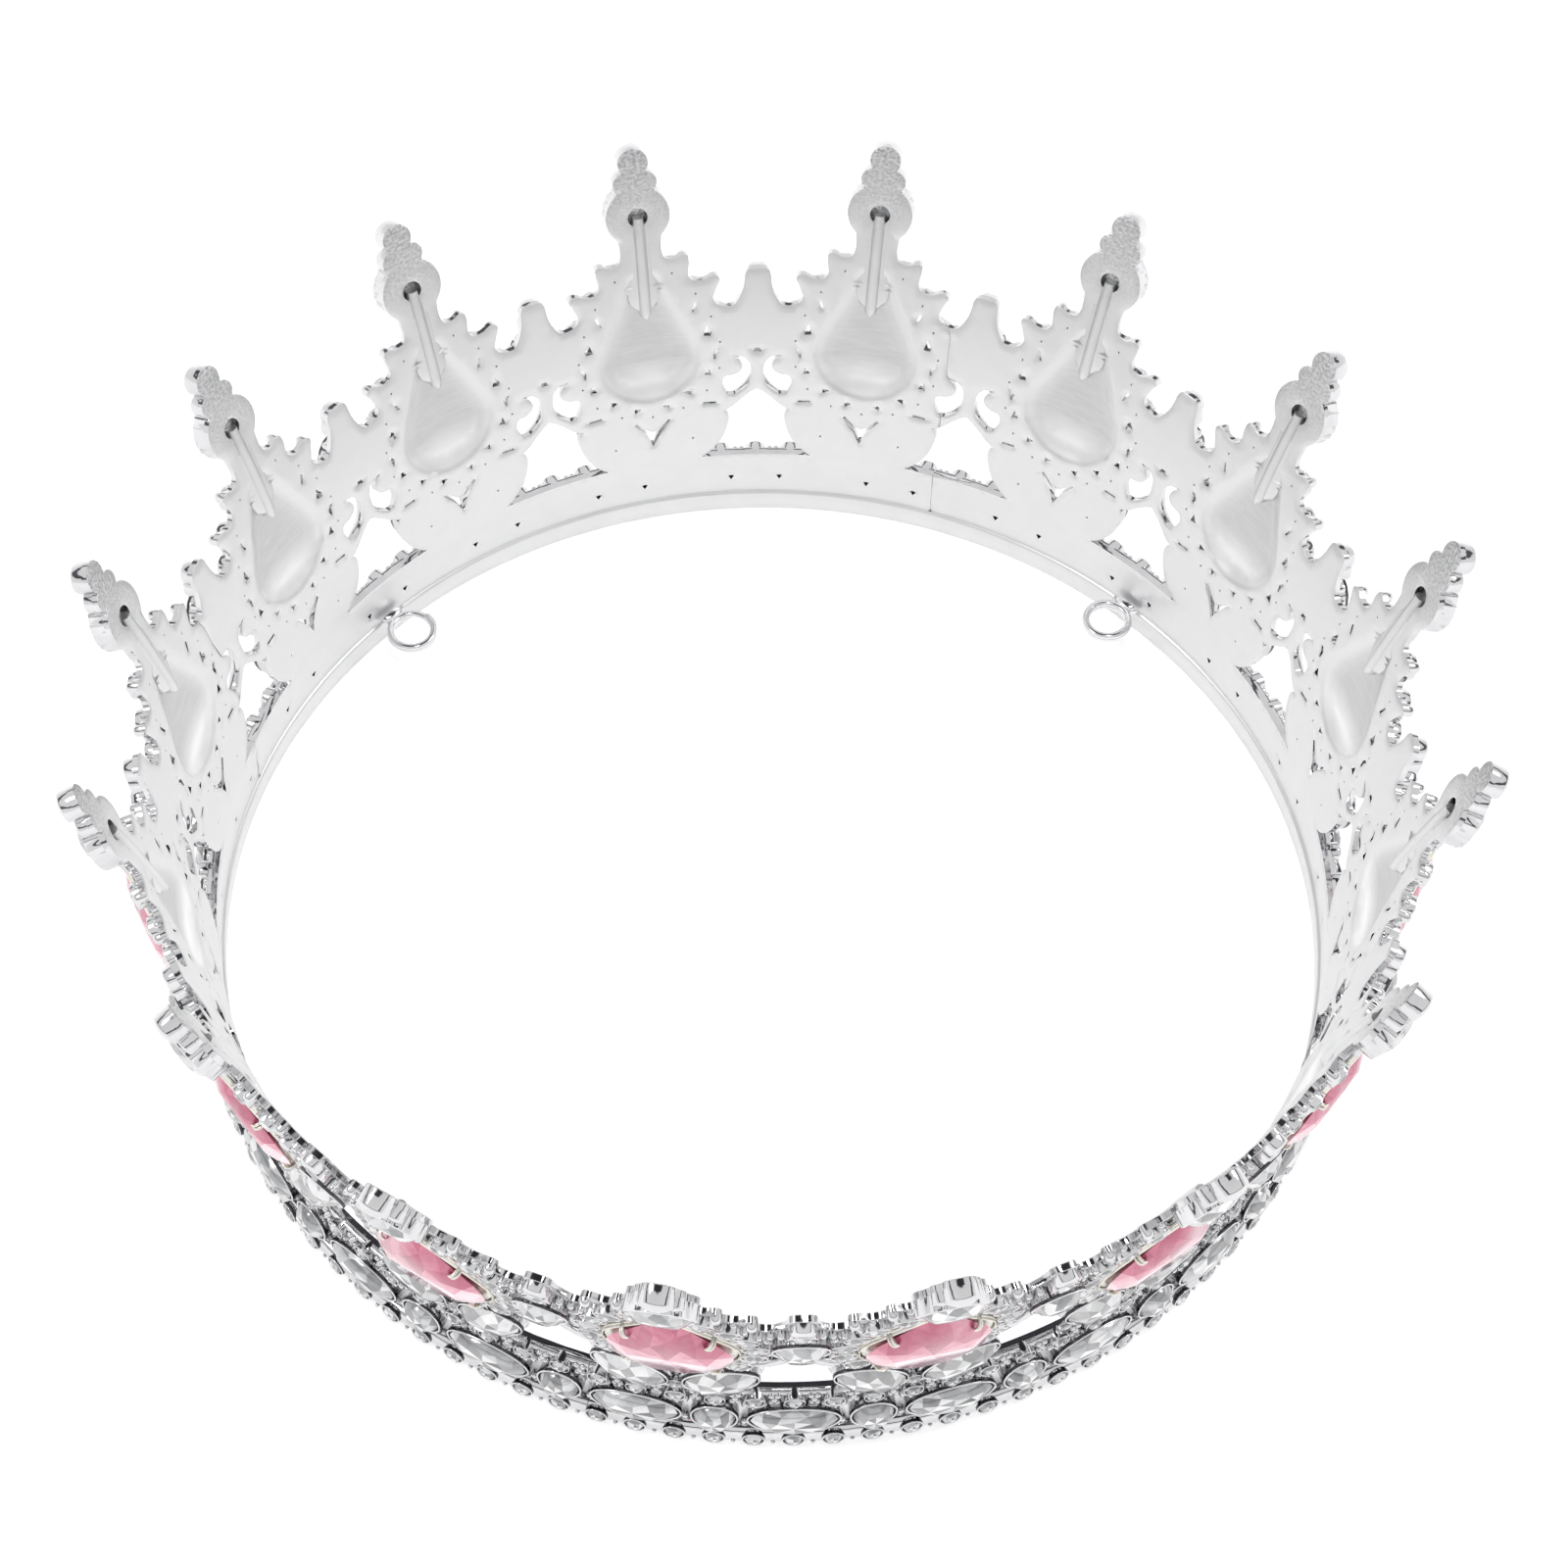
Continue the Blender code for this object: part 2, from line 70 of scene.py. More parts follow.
# Plate: thickness, rounded edges, and the triangles of its front and back
PLATE = 1.1
EDGE_ROUND = 0.14
EDGE_INSET = 0.26
MM_PER_DEGREE = 1.4
FRONT_SPACING = 2.4
BACK_SPACING = 1.15
ROW_SHARE = 0.866
SHARP_ANGLE = 50.0

# Raised work starts inside the plate; larger rims carry a band of painted shade just under the top
FOOT = 0.8
PAINTED_SHADE_WALL = 0.45

# Band: rail depth, then places up the wall, half sizes and fits of the stones
RAIL = 3.1
RAIL_TOP = 3.3
BAND_TOP = 12.2
BAND_RIM_TOP = 3.1
BAND_STONE_HEIGHT = 6.7
OVAL = (6.05, 3.25)
ROUND = (3.1, 3.1)
CHATONS_ROUND_BAND = 96
LOW_CHATON_HEIGHT = 1.85
LOW_CHATON_RADIUS = 1.5
HIGH_CHATON_HEIGHT = 10.85
HIGH_CHATON_RADIUS = 1.4
BAND_STONE_FIT = 0.34
CHATON_FIT = 0.22

# Spire
CUP_HEIGHT = 55.8
CUP_RADIUS = 4.65
CUP_DEPTH = 3.2
CUP_HOLE_RADIUS = 1.45
CUP_STONE_FIT = 0.55
KNOB_HEIGHT = 64.1
KNOB_RADIUS = 2.2
LOBE_HEIGHT = 61.0
PEAR_HEIGHT = 31.8
DISH_RIM = 7.8
DISH_TAPER = 23.6
DISH_STEPS = ((0.0, 0.0), (0.5, 0.2), (2.0, 0.95), (4.2, 1.35), (7.8, 1.45))
DISH_FRONT = 0.3
DISH_TOP = 45.5
PIT_RADIUS = 0.2
PIT_DEPTH = 0.5
PEAR_TAPER = 30.0
SEAT_RADIUS = 8.6
SETTING_RADIUS = 8.75
SETTING_FOOT = 1.9
PEAR_STONE_RADIUS = 8.3
PEAR_MIDDLE = 1.6
CLAW_WIRE = 0.23
CLAW_HALF_SPAN = 0.3
CLAW_PLACES = (0.16, 0.40, 0.60, 0.84)
LEAF_PLACE = (5.8, 17.5)
LEAF = (5.9, 3.75)
LEAF_TILT = 42.0
LEAF_STONE_FIT = 0.38
SPRAY = [(4.2, 46.0), (7.4, 42.2), (9.4, 38.1), (10.5, 33.6), (10.2, 29.0), (8.2, 25.1),
         (4.6, 22.3)]
SPRAY_RADIUS = 1.85
UNDER_PEAR_HEIGHT = 21.4
UNDER_LEAVES_HEIGHT = 13.9
STRIP_ROWS = (51.5, 49.0, 46.0, 42.5, 40.9, 40.2)
RIB_ROWS = (55.6, 53.0, 48.0, 43.0, 41.2, 39.7, 39.2)

# Gap between two spires
GAP_STONE_HEIGHT = 36.6
GAP_STONE_RADIUS = 3.75
GAP_STONE_FIT = 0.4
PEAK_CHATON_HEIGHT = 41.9
PEAK_TOP_HEIGHT = 44.2

# Base, girdle and top of each kind of stone, outward from the inner face
LOW_CHATON_STONE = (2.7, 3.1, 3.7)
HIGH_CHATON_STONE = (1.6, 2.35, 3.1)
OVAL_STONE = (1.5, 2.8, 4.2)
ROUND_STONE = (1.5, 2.8, 4.4)
SPRAY_STONE = (1.4, 2.1, 2.8)
SMALL_STONE = (1.4, 2.1, 2.7)
LEAF_STONE = (1.6, 2.4, 3.8)
GAP_STONE = (2.0, 2.9, 4.4)
PEAK_STONE = (1.4, 2.3, 3.0)
SPIRE_STONE = (2.2, 2.9, 4.2)
PEAR_STONE = (2.45, 2.8, 4.6)

# Shades of the table facets in turn, a painted reflection of the stone's foil back
TABLE_SHADES = (0.12, 0.78, 0.42, 0.95, 0.3, 0.62)

# Wire loops: nearly two turns, from one end to the other
LOOP_ANGLES = {"hair_loop_left": 225.0, "hair_loop_right": 135.0}
LOOP_RADIUS = 3.15
LOOP_WIRE = 0.5
LOOP_START = -25.0
LOOP_SWEEP = 660.0
SOLDER = (1.25, 2.2, 1.0)

# Camera at the real view: turns in radians, and its place in wall radii
CAMERA_YAW = -0.0023
CAMERA_PITCH = 0.9605
CAMERA_ROLL = 0.0407
CAMERA_SWING = -0.0670
CAMERA_PLACE = (0.0, -4.7056, 7.2108)
CAMERA_LENS = 107.78

# Light of the room by the height of a direction. The dark band low down and
# the dark patch overhead give the polished edges their contrast.
ROOM_LIGHT = [(0.0, WHITE), (0.22, (0.95, 0.95, 0.95)), (0.26, (0.10, 0.10, 0.11)),
              (0.36, (0.10, 0.10, 0.11)), (0.40, (0.92, 0.92, 0.92)), (0.83, (0.86, 0.86, 0.86)),
              (0.87, (0.06, 0.06, 0.07)), (1.0, (0.02, 0.02, 0.02))]
FLOOR_DROP = 0.0003
FLOOR_GLOW = 0.45

# Numbers of a casting's three materials; the third is dark plating painted on as shade
POLISHED = 0
SATIN = 1
PAINTED_SHADE = 2

random = np.random.default_rng(7)


# ---------------------------------------------------------------- the wall

def wall_profile(step=0.25):
    """Radius and height of the inner face against distance up the wall."""
    distances = np.arange(0.0, LEAN_HEIGHTS[-1] + 4.0, step)
    lean = np.radians(np.interp(distances[1:] - step / 2, LEAN_HEIGHTS, LEAN_ANGLES))
    radii = np.concatenate([[WALL_RADIUS], WALL_RADIUS + np.cumsum(step * np.sin(lean))])
    heights = np.concatenate([[0.0], np.cumsum(step * np.cos(lean))])
    return distances, radii, heights


PROFILE_S, PROFILE_R, PROFILE_Z = wall_profile()


def wall(axis, flat):
    """Points in metres for rows of (x, s, w) beside an axis."""
    x, s, w = np.asarray(flat, float).T
    radius = np.interp(s, PROFILE_S, PROFILE_R)
    lean = np.radians(np.interp(s, LEAN_HEIGHTS, LEAN_ANGLES))
    turn = np.radians(axis) + x / radius
    reach = radius + w * np.cos(lean)
    height = np.interp(s, PROFILE_S, PROFILE_Z) - w * np.sin(lean)
    return np.stack([reach * np.sin(turn), -reach * np.cos(turn), height], axis=1) * MM


def rigid(axis, centre, local):
    """Points of a part that isn't bent, set on the wall at (x, s, w)."""
    origin = wall(axis, [centre])[0]
    turn = math.radians(axis) + centre[0] / np.interp(centre[1], PROFILE_S, PROFILE_R)
    lean = math.radians(np.interp(centre[1], LEAN_HEIGHTS, LEAN_ANGLES))
    along = (math.cos(turn), math.sin(turn), 0.0)
    up = (math.sin(turn) * math.sin(lean), -math.cos(turn) * math.sin(lean), math.cos(lean))
    out = (math.sin(turn) * math.cos(lean), -math.cos(turn) * math.cos(lean), -math.sin(lean))
    return origin + np.asarray(local, float) @ np.array([along, up, out]) * MM


def angle_at(axis, x, s):
    return axis + np.degrees(x / np.interp(s, PROFILE_S, PROFILE_R))


def gap_axis(index):
    return index * PITCH


def spire_axis(index):
    return (index + 0.5) * PITCH


# ------------------------------------------------------------- flat outlines

def arc(x, s, radius, start, end, count):
    angles = np.radians(np.linspace(start, end, count))
    return [(x + radius * math.cos(a), s + radius * math.sin(a)) for a in angles]


def smooth(points, steps=3):
    """Curve through the points, with steps pieces between each two."""
    knots = np.array([points[0]] + list(points) + [points[-1]], float)
    curve = []
    for i in range(1, len(knots) - 2):
        before, here, there, after = knots[i - 1:i + 3]
        for t in np.arange(steps) / steps:
            bow = (2 * here + (there - before) * t
                   + (2 * before - 5 * here + 4 * there - after) * t ** 2
                   + (3 * here - before - 3 * there + after) * t ** 3)
            curve.append(tuple(bow / 2))
    curve.append(tuple(points[-1]))
    return curve


def mirrored(points):
    return [(-x, s) for x, s in reversed(points)]


def turned(points, tilt, centre=(0.0, 0.0)):
    """Points turned by tilt degrees about the origin, then moved to a centre."""
    angle = math.radians(tilt)
    x, s = np.asarray(points, float).T
    return np.stack([centre[0] + x * math.cos(angle) - s * math.sin(angle),
                     centre[1] + x * math.sin(angle) + s * math.cos(angle)], axis=1)


def oval_outline(half_width, half_height, count, centre=(0.0, 0.0), tilt=0.0):
    """Function that gives the outline drawn in by an offset."""
    angles = np.arange(count) * 2 * math.pi / count

    def outline(offset=0.0):
        points = np.stack([(half_width - offset) * np.cos(angles),
                           (half_height - offset) * np.sin(angles)], axis=1)
        return turned(points, tilt, centre)
    return outline


def fluted_outline(radius, flutes, depth, centre):
    """Round outline whose outermost line is fluted; further in it is plain."""
    angles = np.arange(flutes * 4) * 2 * math.pi / (flutes * 4)
    wave = depth * (1 - np.cos(angles * flutes)) / 2

    def outline(offset=0.0):
        reach = radius - (wave if offset == 0.0 else depth + offset)
        return np.stack([centre[0] + reach * np.cos(angles),
                         centre[1] + reach * np.sin(angles)], axis=1)
    return outline


def pear_points(radius, taper_angle, tip_radius, steps=17):
    """Pear outline round PEAR_HEIGHT, anticlockwise, from the left flank."""
    taper = math.radians(taper_angle)
    lower = arc(0, PEAR_HEIGHT, radius, 180 - taper_angle, 360 + taper_angle, steps)
    tip = PEAR_HEIGHT + (radius - tip_radius) / math.sin(taper)
    upper = arc(0, tip, tip_radius, taper_angle, 180 - taper_angle, 5)
    flank = [tuple(p) for p in np.linspace(lower[-1], upper[0], 6)[1:-1]]
    return np.array(lower + flank + upper + mirrored(flank))


def pear_outline(radius, taper_angle=PEAR_TAPER, tip_radius=0.8):
    def outline(offset=0.0):
        return pear_points(radius - offset, taper_angle, max(tip_radius - offset, 0.12))
    return outline


def resampled(points, count):
    """Closed outline as count points at equal steps, the first at the top."""
    points = np.asarray(points, float)
    points = np.roll(points, -int(np.argmax(points[:, 1])), axis=0)
    closed = np.vstack([points, points[:1]])
    length = np.concatenate([[0], np.cumsum(np.linalg.norm(np.diff(closed, axis=0), axis=1))])
    steps = np.arange(count) * length[-1] / count
    return np.stack([np.interp(steps, length, closed[:, k]) for k in (0, 1)], axis=1)


# ------------------------------------------------------------------- solids
# A solid is a pair: rows of (x, s, w), and faces as tuples of row numbers.

def level(points, w):
    points = np.asarray(points, float)
    return np.column_stack([points, np.full(len(points), w)])


def stack(rings, closed=False):
    """Solid through rings with equal counts, capped, or joined last to first."""
    count = len(rings[0])
    points = np.vstack(rings)
    faces = []
    layers = len(rings)
    for k in range(layers if closed else layers - 1):
        low, high = k * count, ((k + 1) % layers) * count
        for i in range(count):
            j = (i + 1) % count
            faces.append((low + i, low + j, high + j, high + i))
    if not closed:
        faces.append(tuple(reversed(range(count))))
        faces.append(tuple(range((layers - 1) * count, layers * count)))
    return points, faces


def bezel(outline, thickness, low, high, painted_shade_wall=False):
    """Wall round an outline with a rounded rim. The third value tells how many of its faces, the first
    ones, are the strip of painted shade outside the rim."""
    half = thickness / 2
    # With painted shade the outer wall starts just under the rim, and that strip gets the dark plating
    section = [(0.0, high - half - PAINTED_SHADE_WALL)] if painted_shade_wall else [(0.0, low)]
    for a in np.radians([0, 45, 90, 135, 180]):
        section.append((half - half * math.cos(a), high - half + half * math.sin(a)))
    section.append((thickness, low))
    if painted_shade_wall:
        section.append((0.0, low))
    points, faces = stack([level(outline(offset), w) for offset, w in section], closed=True)
    return points, faces, len(points) // len(section) if painted_shade_wall else 0


def button(outline, low, high, dome, edge):
    """Solid disc with a rounded edge and a domed top."""
    section = [(0.0, low), (0.0, high - edge), (edge * 0.3, high - edge * 0.3), (edge, high)]
    rings = [level(outline(offset), w) for offset, w in section]
    top = outline(edge)
    middle = top.mean(axis=0)
    for share in (0.6, 0.25):
        rings.append(level(middle + (top - middle) * share, high + dome * (1 - share ** 2)))
    return stack(rings)


def peg(x, s, radius, low, high, count=8):
    """Small round pin with a rounded end."""
    outline = oval_outline(radius, radius, count, (x, s))
    section = [(0.0, low), (0.0, high - 0.7 * radius), (0.25 * radius, high - 0.25 * radius),
               (0.65 * radius, high)]
    return stack([level(outline(offset), w) for offset, w in section])


def ridge(path, half_width, low, high):
    """Rounded bar along a path on the flat."""
    path = np.asarray(path, float)
    ahead = np.gradient(path, axis=0)
    ahead /= np.linalg.norm(ahead, axis=1)[:, None]
    side = np.stack([-ahead[:, 1], ahead[:, 0]], axis=1)
    widths = np.broadcast_to(half_width, len(path))
    drop = min((high - low) * 0.4, float(np.max(widths)) * 0.6)
    section = [(1.0, low), (1.0, high - drop), (0.6, high - drop * 0.25), (0.0, high),
               (-0.6, high - drop * 0.25), (-1.0, high - drop), (-1.0, low)]
    rings = []
    for point, normal, width in zip(path, side, widths):
        rings.append(np.array([(*(point - normal * width * share), w) for share, w in section]))
    return stack(rings)


def tube(path, radius, sides=8):
    """Round wire along a path of (x, s, w)."""
    path = np.asarray(path, float)
    ahead = np.gradient(path, axis=0)
    ahead /= np.linalg.norm(ahead, axis=1)[:, None]
    side = np.cross(ahead[0], (0.3, 0.5, 0.8))
    angles = np.arange(sides) * 2 * math.pi / sides
    rings = []
    for point, direction in zip(path, ahead):
        side = side - direction * (side @ direction)
        side /= np.linalg.norm(side)
        other = np.cross(direction, side)
        rings.append(point + radius * (np.outer(np.cos(angles), side) + np.outer(np.sin(angles), other)))
    return stack(rings)


def gem(perimeter, centre, depths, table=0.56, middle=0.8, rise=0.94, point=None, bright=0.0):
    """Faceted stone over an even count of perimeter points, with its shades, which are painted
    reflections. Facets of the table alternate, and bright lifts the lower side as a painted reflection
    of the bright floor."""
    perimeter = np.asarray(perimeter, float)
    centre = np.asarray(centre, float)
    low, girdle, top = depths
    count = len(perimeter) // 2
    height = top - girdle
    table_ring = level(centre + (perimeter[0::2] - centre) * table, girdle + height * rise)
    middle_ring = level(centre + (perimeter[1::2] - centre) * middle, girdle + height * 0.6)
    girdle_ring = level(perimeter, girdle)
    base_ring = level(centre + (perimeter - centre) * 0.93, low)
    points = np.vstack([[(*centre, top)], table_ring, middle_ring, girdle_ring, base_ring,
                        [(*centre, low if point is None else point)]])
    t, m, g = 1, 1 + count, 1 + 2 * count
    b, last = 1 + 4 * count, 1 + 6 * count
    facets = []
    for k in range(count):
        after = (k + 1) % count
        before = (k - 1) % count
        facets.append([(0, t + k, t + after)])
        facets.append([(t + k, m + k, t + after)])
        facets.append([(t + k, m + before, g + 2 * k), (t + k, g + 2 * k, m + k)])
        facets.append([(m + k, g + 2 * k, g + 2 * k + 1)])
        facets.append([(m + k, g + 2 * k + 1, g + 2 * after)])
        for i in (2 * k, 2 * k + 1):
            j = (i + 1) % (2 * count)
            facets.append([(g + i, b + i, b + j), (g + i, b + j, g + j)])
            facets.append([(b + i, last, b + j)])
    reach = np.abs(perimeter - centre).max()
    faces = []
    shades = []
    # Painted reflections: a shade for each facet, paler on the lower side when bright is set
    for number, facet in enumerate(facets):
        step, kind = divmod(number, len(facets) // count)
        if kind == 0:
            shade = TABLE_SHADES[step % len(TABLE_SHADES)] + 0.16 * random.random()
        else:
            shade = 0.34 + 0.6 * random.random() ** 1.3
        drop = (centre[1] - np.mean([points[i, 1] for i in facet[0]])) / reach
        shade += bright * (min(max(0.75 + 3.0 * drop, 0.0), 1.0) - shade)
        faces.extend(facet)
        shades.extend([shade] * len(facet))
    return points, faces, shades


# ------------------------------------------------------------------- pieces

class Piece:
    """Mesh gathered from solids, with a material number for each face."""

    def __init__(self, name):
        self.name = name
        self.points = []
        self.flats = []
        self.faces = []
        self.materials = []
        self.smooth = []
        self.shades = []
        self.count = 0

    def add(self, points, faces, flat=None, material=POLISHED, shades=None):
        """Add a solid. One with shades is a stone and has flat facets."""
        self.points.append(points)
        self.flats.append(points if flat is None else flat)
        for number, face in enumerate(faces):
            self.faces.append([self.count + i for i in face])
            self.materials.append(material)
            self.smooth.append(shades is None and len(face) < 5)
            self.shades.append(0.5 if shades is None else shades[number])
        self.count += len(points)

    def on_wall(self, axis, solid, material=POLISHED):
        """Bend a solid onto the wall, giving a bezel's faces of painted shade the dark plating if it has
        any.
        """
        flat, faces, *painted_shade = solid
        first = len(self.faces)
        self.add(wall(axis, flat), faces, flat, material)
        for number in range(first, first + sum(painted_shade)):
            self.materials[number] = PAINTED_SHADE

    def stone(self, axis, centre, solid, tilt=0.0):
        """Set a stone drawn round its own centre, without bending it."""
        local, faces, shades = solid
        local[:, :2] = turned(local[:, :2], tilt)
        self.add(rigid(axis, centre, local), faces, local, shades=shades)

    def make(self, materials, nodes=()):
        mesh = bpy.data.meshes.new(self.name)
        mesh.from_pydata(np.vstack(self.points).tolist(), [], self.faces)
        mesh.polygons.foreach_set("material_index", self.materials)
        mesh.polygons.foreach_set("use_smooth", self.smooth)
        corners = np.repeat(self.shades, [len(face) for face in self.faces])
        shade = mesh.attributes.new("shade", "FLOAT", "CORNER")
        shade.data.foreach_set("value", corners.astype(np.float32))
        flat = mesh.attributes.new("flat", "FLOAT_VECTOR", "POINT")
        flat.data.foreach_set("vector", np.vstack(self.flats).astype(np.float32).ravel())
        for material in materials:
            mesh.materials.append(material)
        mesh.validate()
        mesh.set_sharp_from_angle(angle=math.radians(SHARP_ANGLE))
        item = bpy.data.objects.new(self.name, mesh)
        bpy.context.scene.collection.objects.link(item)
        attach(item, "root")
        if nodes:
            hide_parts(*nodes)


# ---------------------------------------------------------------- materials

class Graph:
    """Node tree of a material or of the world."""

    def __init__(self, tree):
        self.nodes = tree.nodes
        self.links = tree.links

    def node(self, kind, inputs, **settings):
        node = self.nodes.new(kind)
        for name, value in settings.items():
            setattr(node, name, value)
        for name, value in inputs.items():
            self.put(node, name, value)
        return node

    def put(self, node, name, value):
        """Give an input a value, or another node's output."""
        if isinstance(value, bpy.types.NodeSocket):
            self.links.new(value, node.inputs[name])
        else:
            node.inputs[name].default_value = value

    def attribute(self, name, output):
        return self.node("ShaderNodeAttribute", {}, attribute_name=name).outputs[output]

    def noise(self, place, scale, detail, stretch=(1.0, 1.0, 1.0)):
        mapping = self.node("ShaderNodeMapping", {"Vector": place, "Scale": stretch})
        inputs = {"Vector": mapping.outputs["Vector"], "Scale": scale, "Detail": detail}
        return self.node("ShaderNodeTexNoise", inputs).outputs["Fac"]

    def ramp(self, value, stops):
        """Colours between stops, each a place and a colour."""
        node = self.node("ShaderNodeValToRGB", {"Fac": value})
        elements = node.color_ramp.elements
        for number in (0, -1):
            elements[number].position = stops[number][0]
            elements[number].color = (*stops[number][1], 1.0)
        for place, colour in stops[1:-1]:
            elements.new(place).color = (*colour, 1.0)
        return node.outputs["Color"]

    def spread(self, value, low, high):
        """The value moved from 0..1 to low..high."""
        inputs = {"Value": value, "To Min": low, "To Max": high}
        return self.node("ShaderNodeMapRange", inputs).outputs["Result"]

    def limits(self, value, low, high):
        """0 at low and 1 at high, held beyond them."""
        inputs = {"Value": value, "From Min": low, "From Max": high}
        return self.node("ShaderNodeMapRange", inputs).outputs["Result"]

    def combine(self, operation, first, second):
        inputs = {0: first, 1: second}
        return self.node("ShaderNodeMath", inputs, operation=operation).outputs["Value"]

    def bump(self, shader, height, strength, distance):
        inputs = {"Height": height, "Strength": strength, "Distance": distance}
        self.put(shader, "Normal", self.node("ShaderNodeBump", inputs).outputs["Normal"])


def new_material(name, colour, metallic, roughness):
    material = bpy.data.materials.new(name)
    material.use_nodes = True
    graph = Graph(material.node_tree)
    shader = graph.nodes["Principled BSDF"]
    graph.put(shader, "Base Color", (*colour, 1.0))
    graph.put(shader, "Metallic", metallic)
    graph.put(shader, "Roughness", roughness)
    return material, graph, shader


def polished_metal(name, light, dark, roughness):
    """Bright plating with faint smudges and a slightly uneven cast surface."""
    material, graph, shader = new_material(name, light, 1.0, roughness)
    place = graph.node("ShaderNodeTexCoord", {}).outputs["Object"]
    smudge = graph.noise(place, 260.0, 4.0)
    graph.put(shader, "Base Color", graph.ramp(smudge, [(0.3, dark), (0.7, light)]))
    graph.put(shader, "Roughness", graph.spread(smudge, roughness * 0.5, roughness * 1.8))
    graph.bump(shader, graph.noise(place, 420.0, 2.0), 0.25, 0.0003)
    return material


def satin_metal(name):
    """Pale satin plating of the inner face, drawn on the flat: grainy at the tips, and filed in the
    dishes, where painted shade darkens them deeper in and a painted highlight lightens their lower ends."""
    material, graph, shader = new_material(name, WHITE, 1.0, 0.4)
    flat = graph.attribute("flat", "Vector")
    parts = graph.node("ShaderNodeSeparateXYZ", {"Vector": flat})
    row = parts.outputs["Y"]
    depth = parts.outputs["Z"]
    # Painted highlight on the lower end of each dish, where its wall faces up
    dish_end_highlight = graph.combine("MULTIPLY", graph.limits(depth, 0.05, 0.4),
                            graph.limits(row, 31.0, 27.0))
    # Painted shade deeper in each dish
    in_dish = graph.combine("MULTIPLY", graph.limits(depth, 0.45, 1.2),
                            graph.limits(row, 27.0, 31.0))
    at_tip = graph.limits(row, 52.0, 66.0)
    marks = graph.limits(graph.noise(flat, 1.0, 3.0, (0.3, 2.6, 1.0)), 0.35, 0.65)
    grain = graph.limits(graph.noise(flat, 2.4, 2.0), 0.38, 0.62)
    # Filed marks laid over the painted shade in the dishes
    dish_marks_and_shade = graph.combine("MULTIPLY", in_dish, graph.spread(marks, 0.38, 0.52))
    speckled = graph.combine("MULTIPLY", at_tip, graph.spread(grain, 0.15, 1.0))
    marks_grain_and_shade = graph.spread(graph.combine("MAXIMUM", dish_marks_and_shade, speckled), 0.25, 1.0)
    shadow = graph.combine("SUBTRACT", marks_grain_and_shade, graph.spread(dish_end_highlight, 0.0, 0.25))
    graph.bump(shader, shadow, 0.5, 0.0002)
    patches = graph.noise(flat, 0.22, 2.0)
    graph.put(shader, "Roughness", graph.spread(patches, 0.3, 0.5))
    tone = graph.ramp(patches, [(0.3, (0.95, 0.95, 0.955)), (0.7, WHITE)])
    darker = graph.ramp(shadow, [(0.0, WHITE), (0.25, (0.78, 0.78, 0.78)), (1.0, (0.44, 0.44, 0.45))])
    inputs = {"Fac": 1.0, "Color1": tone, "Color2": darker}
    mixed = graph.node("ShaderNodeMixRGB", inputs, blend_type="MULTIPLY")
    graph.put(shader, "Base Color", mixed.outputs["Color"])
    return material


def stone_material(name, stops, metallic, coat):
    """Foil-backed stone: each facet has its own shade, a painted reflection, slightly clouded."""
    material, graph, shader = new_material(name, stops[1][1], metallic, 0.08)
    place = graph.node("ShaderNodeTexCoord", {}).outputs["Object"]
    cloud = graph.spread(graph.noise(place, 700.0, 2.0), -0.15, 0.15)
    shade = graph.combine("ADD", graph.attribute("shade", "Fac"), cloud)
    graph.put(shader, "Base Color", graph.ramp(shade, stops))
    graph.put(shader, "Coat Weight", coat)
    graph.put(shader, "Coat Roughness", 0.02)
    return material


polished = polished_metal("polished_plating", (0.73, 0.73, 0.74), (0.64, 0.64, 0.65), 0.06)
satin = satin_metal("satin_plating")
# Dark plating painted on the outer walls of rims as shade and dark reflection
painted_shade = polished_metal("painted_shade_plating", (0.13, 0.13, 0.14), (0.07, 0.07, 0.08), 0.15)
warm = polished_metal("pale_gold_plating", (0.86, 0.84, 0.77), (0.76, 0.74, 0.67), 0.25)
wire = polished_metal("loop_plating", (0.88, 0.88, 0.89), (0.78, 0.78, 0.80), 0.15)
clear = stone_material("clear_stone", [(0.0, (0.10, 0.105, 0.11)), (0.3, (0.27, 0.275, 0.28)),
                                       (0.6, (0.52, 0.525, 0.53)), (0.82, (0.76, 0.77, 0.78)),
                                       (1.0, WHITE)], 0.3, 0.2)
rose = stone_material("rose_stone", [(0.0, (0.40, 0.05, 0.12)), (0.25, (0.56, 0.12, 0.21)),
                                     (0.45, (0.74, 0.25, 0.35)), (0.6, (0.86, 0.45, 0.54)),
                                     (0.8, (0.95, 0.65, 0.72)), (1.0, (1.0, 0.84, 0.89))], 0.15, 0.4)


# ---------------------------------------------------- casting: flat outlines

KNOB_ARC = arc(0, KNOB_HEIGHT, KNOB_RADIUS, 90, -40, 9)
LOBE_ARC = arc(1.5, 61.0, 1.7, 60, -58, 8)
CUP_ARC = arc(0, CUP_HEIGHT, CUP_RADIUS, 50, -47, 11)
STEM_LINE = [(3.0, 51.2), (2.95, 50.0), (3.15, 48.9)]
TOOTH_1 = smooth([(3.5, 48.5), (4.8, 48.35), (5.5, 48.7), (6.15, 48.85), (6.7, 48.4), (6.8, 47.3),
                  (6.6, 46.2), (6.5, 45.2)], 2)
TOOTH_2 = smooth([(7.0, 44.5), (7.9, 44.3), (8.9, 44.45), (9.8, 44.95), (10.6, 44.9), (11.05, 44.2),
                  (10.65, 43.2), (10.25, 42.2), (9.9, 41.3)], 2)
NOTCH = [(6.4, 40.7), (6.0, 40.1), (5.2, 39.75), (4.4, 39.6), (3.7, 39.65)]
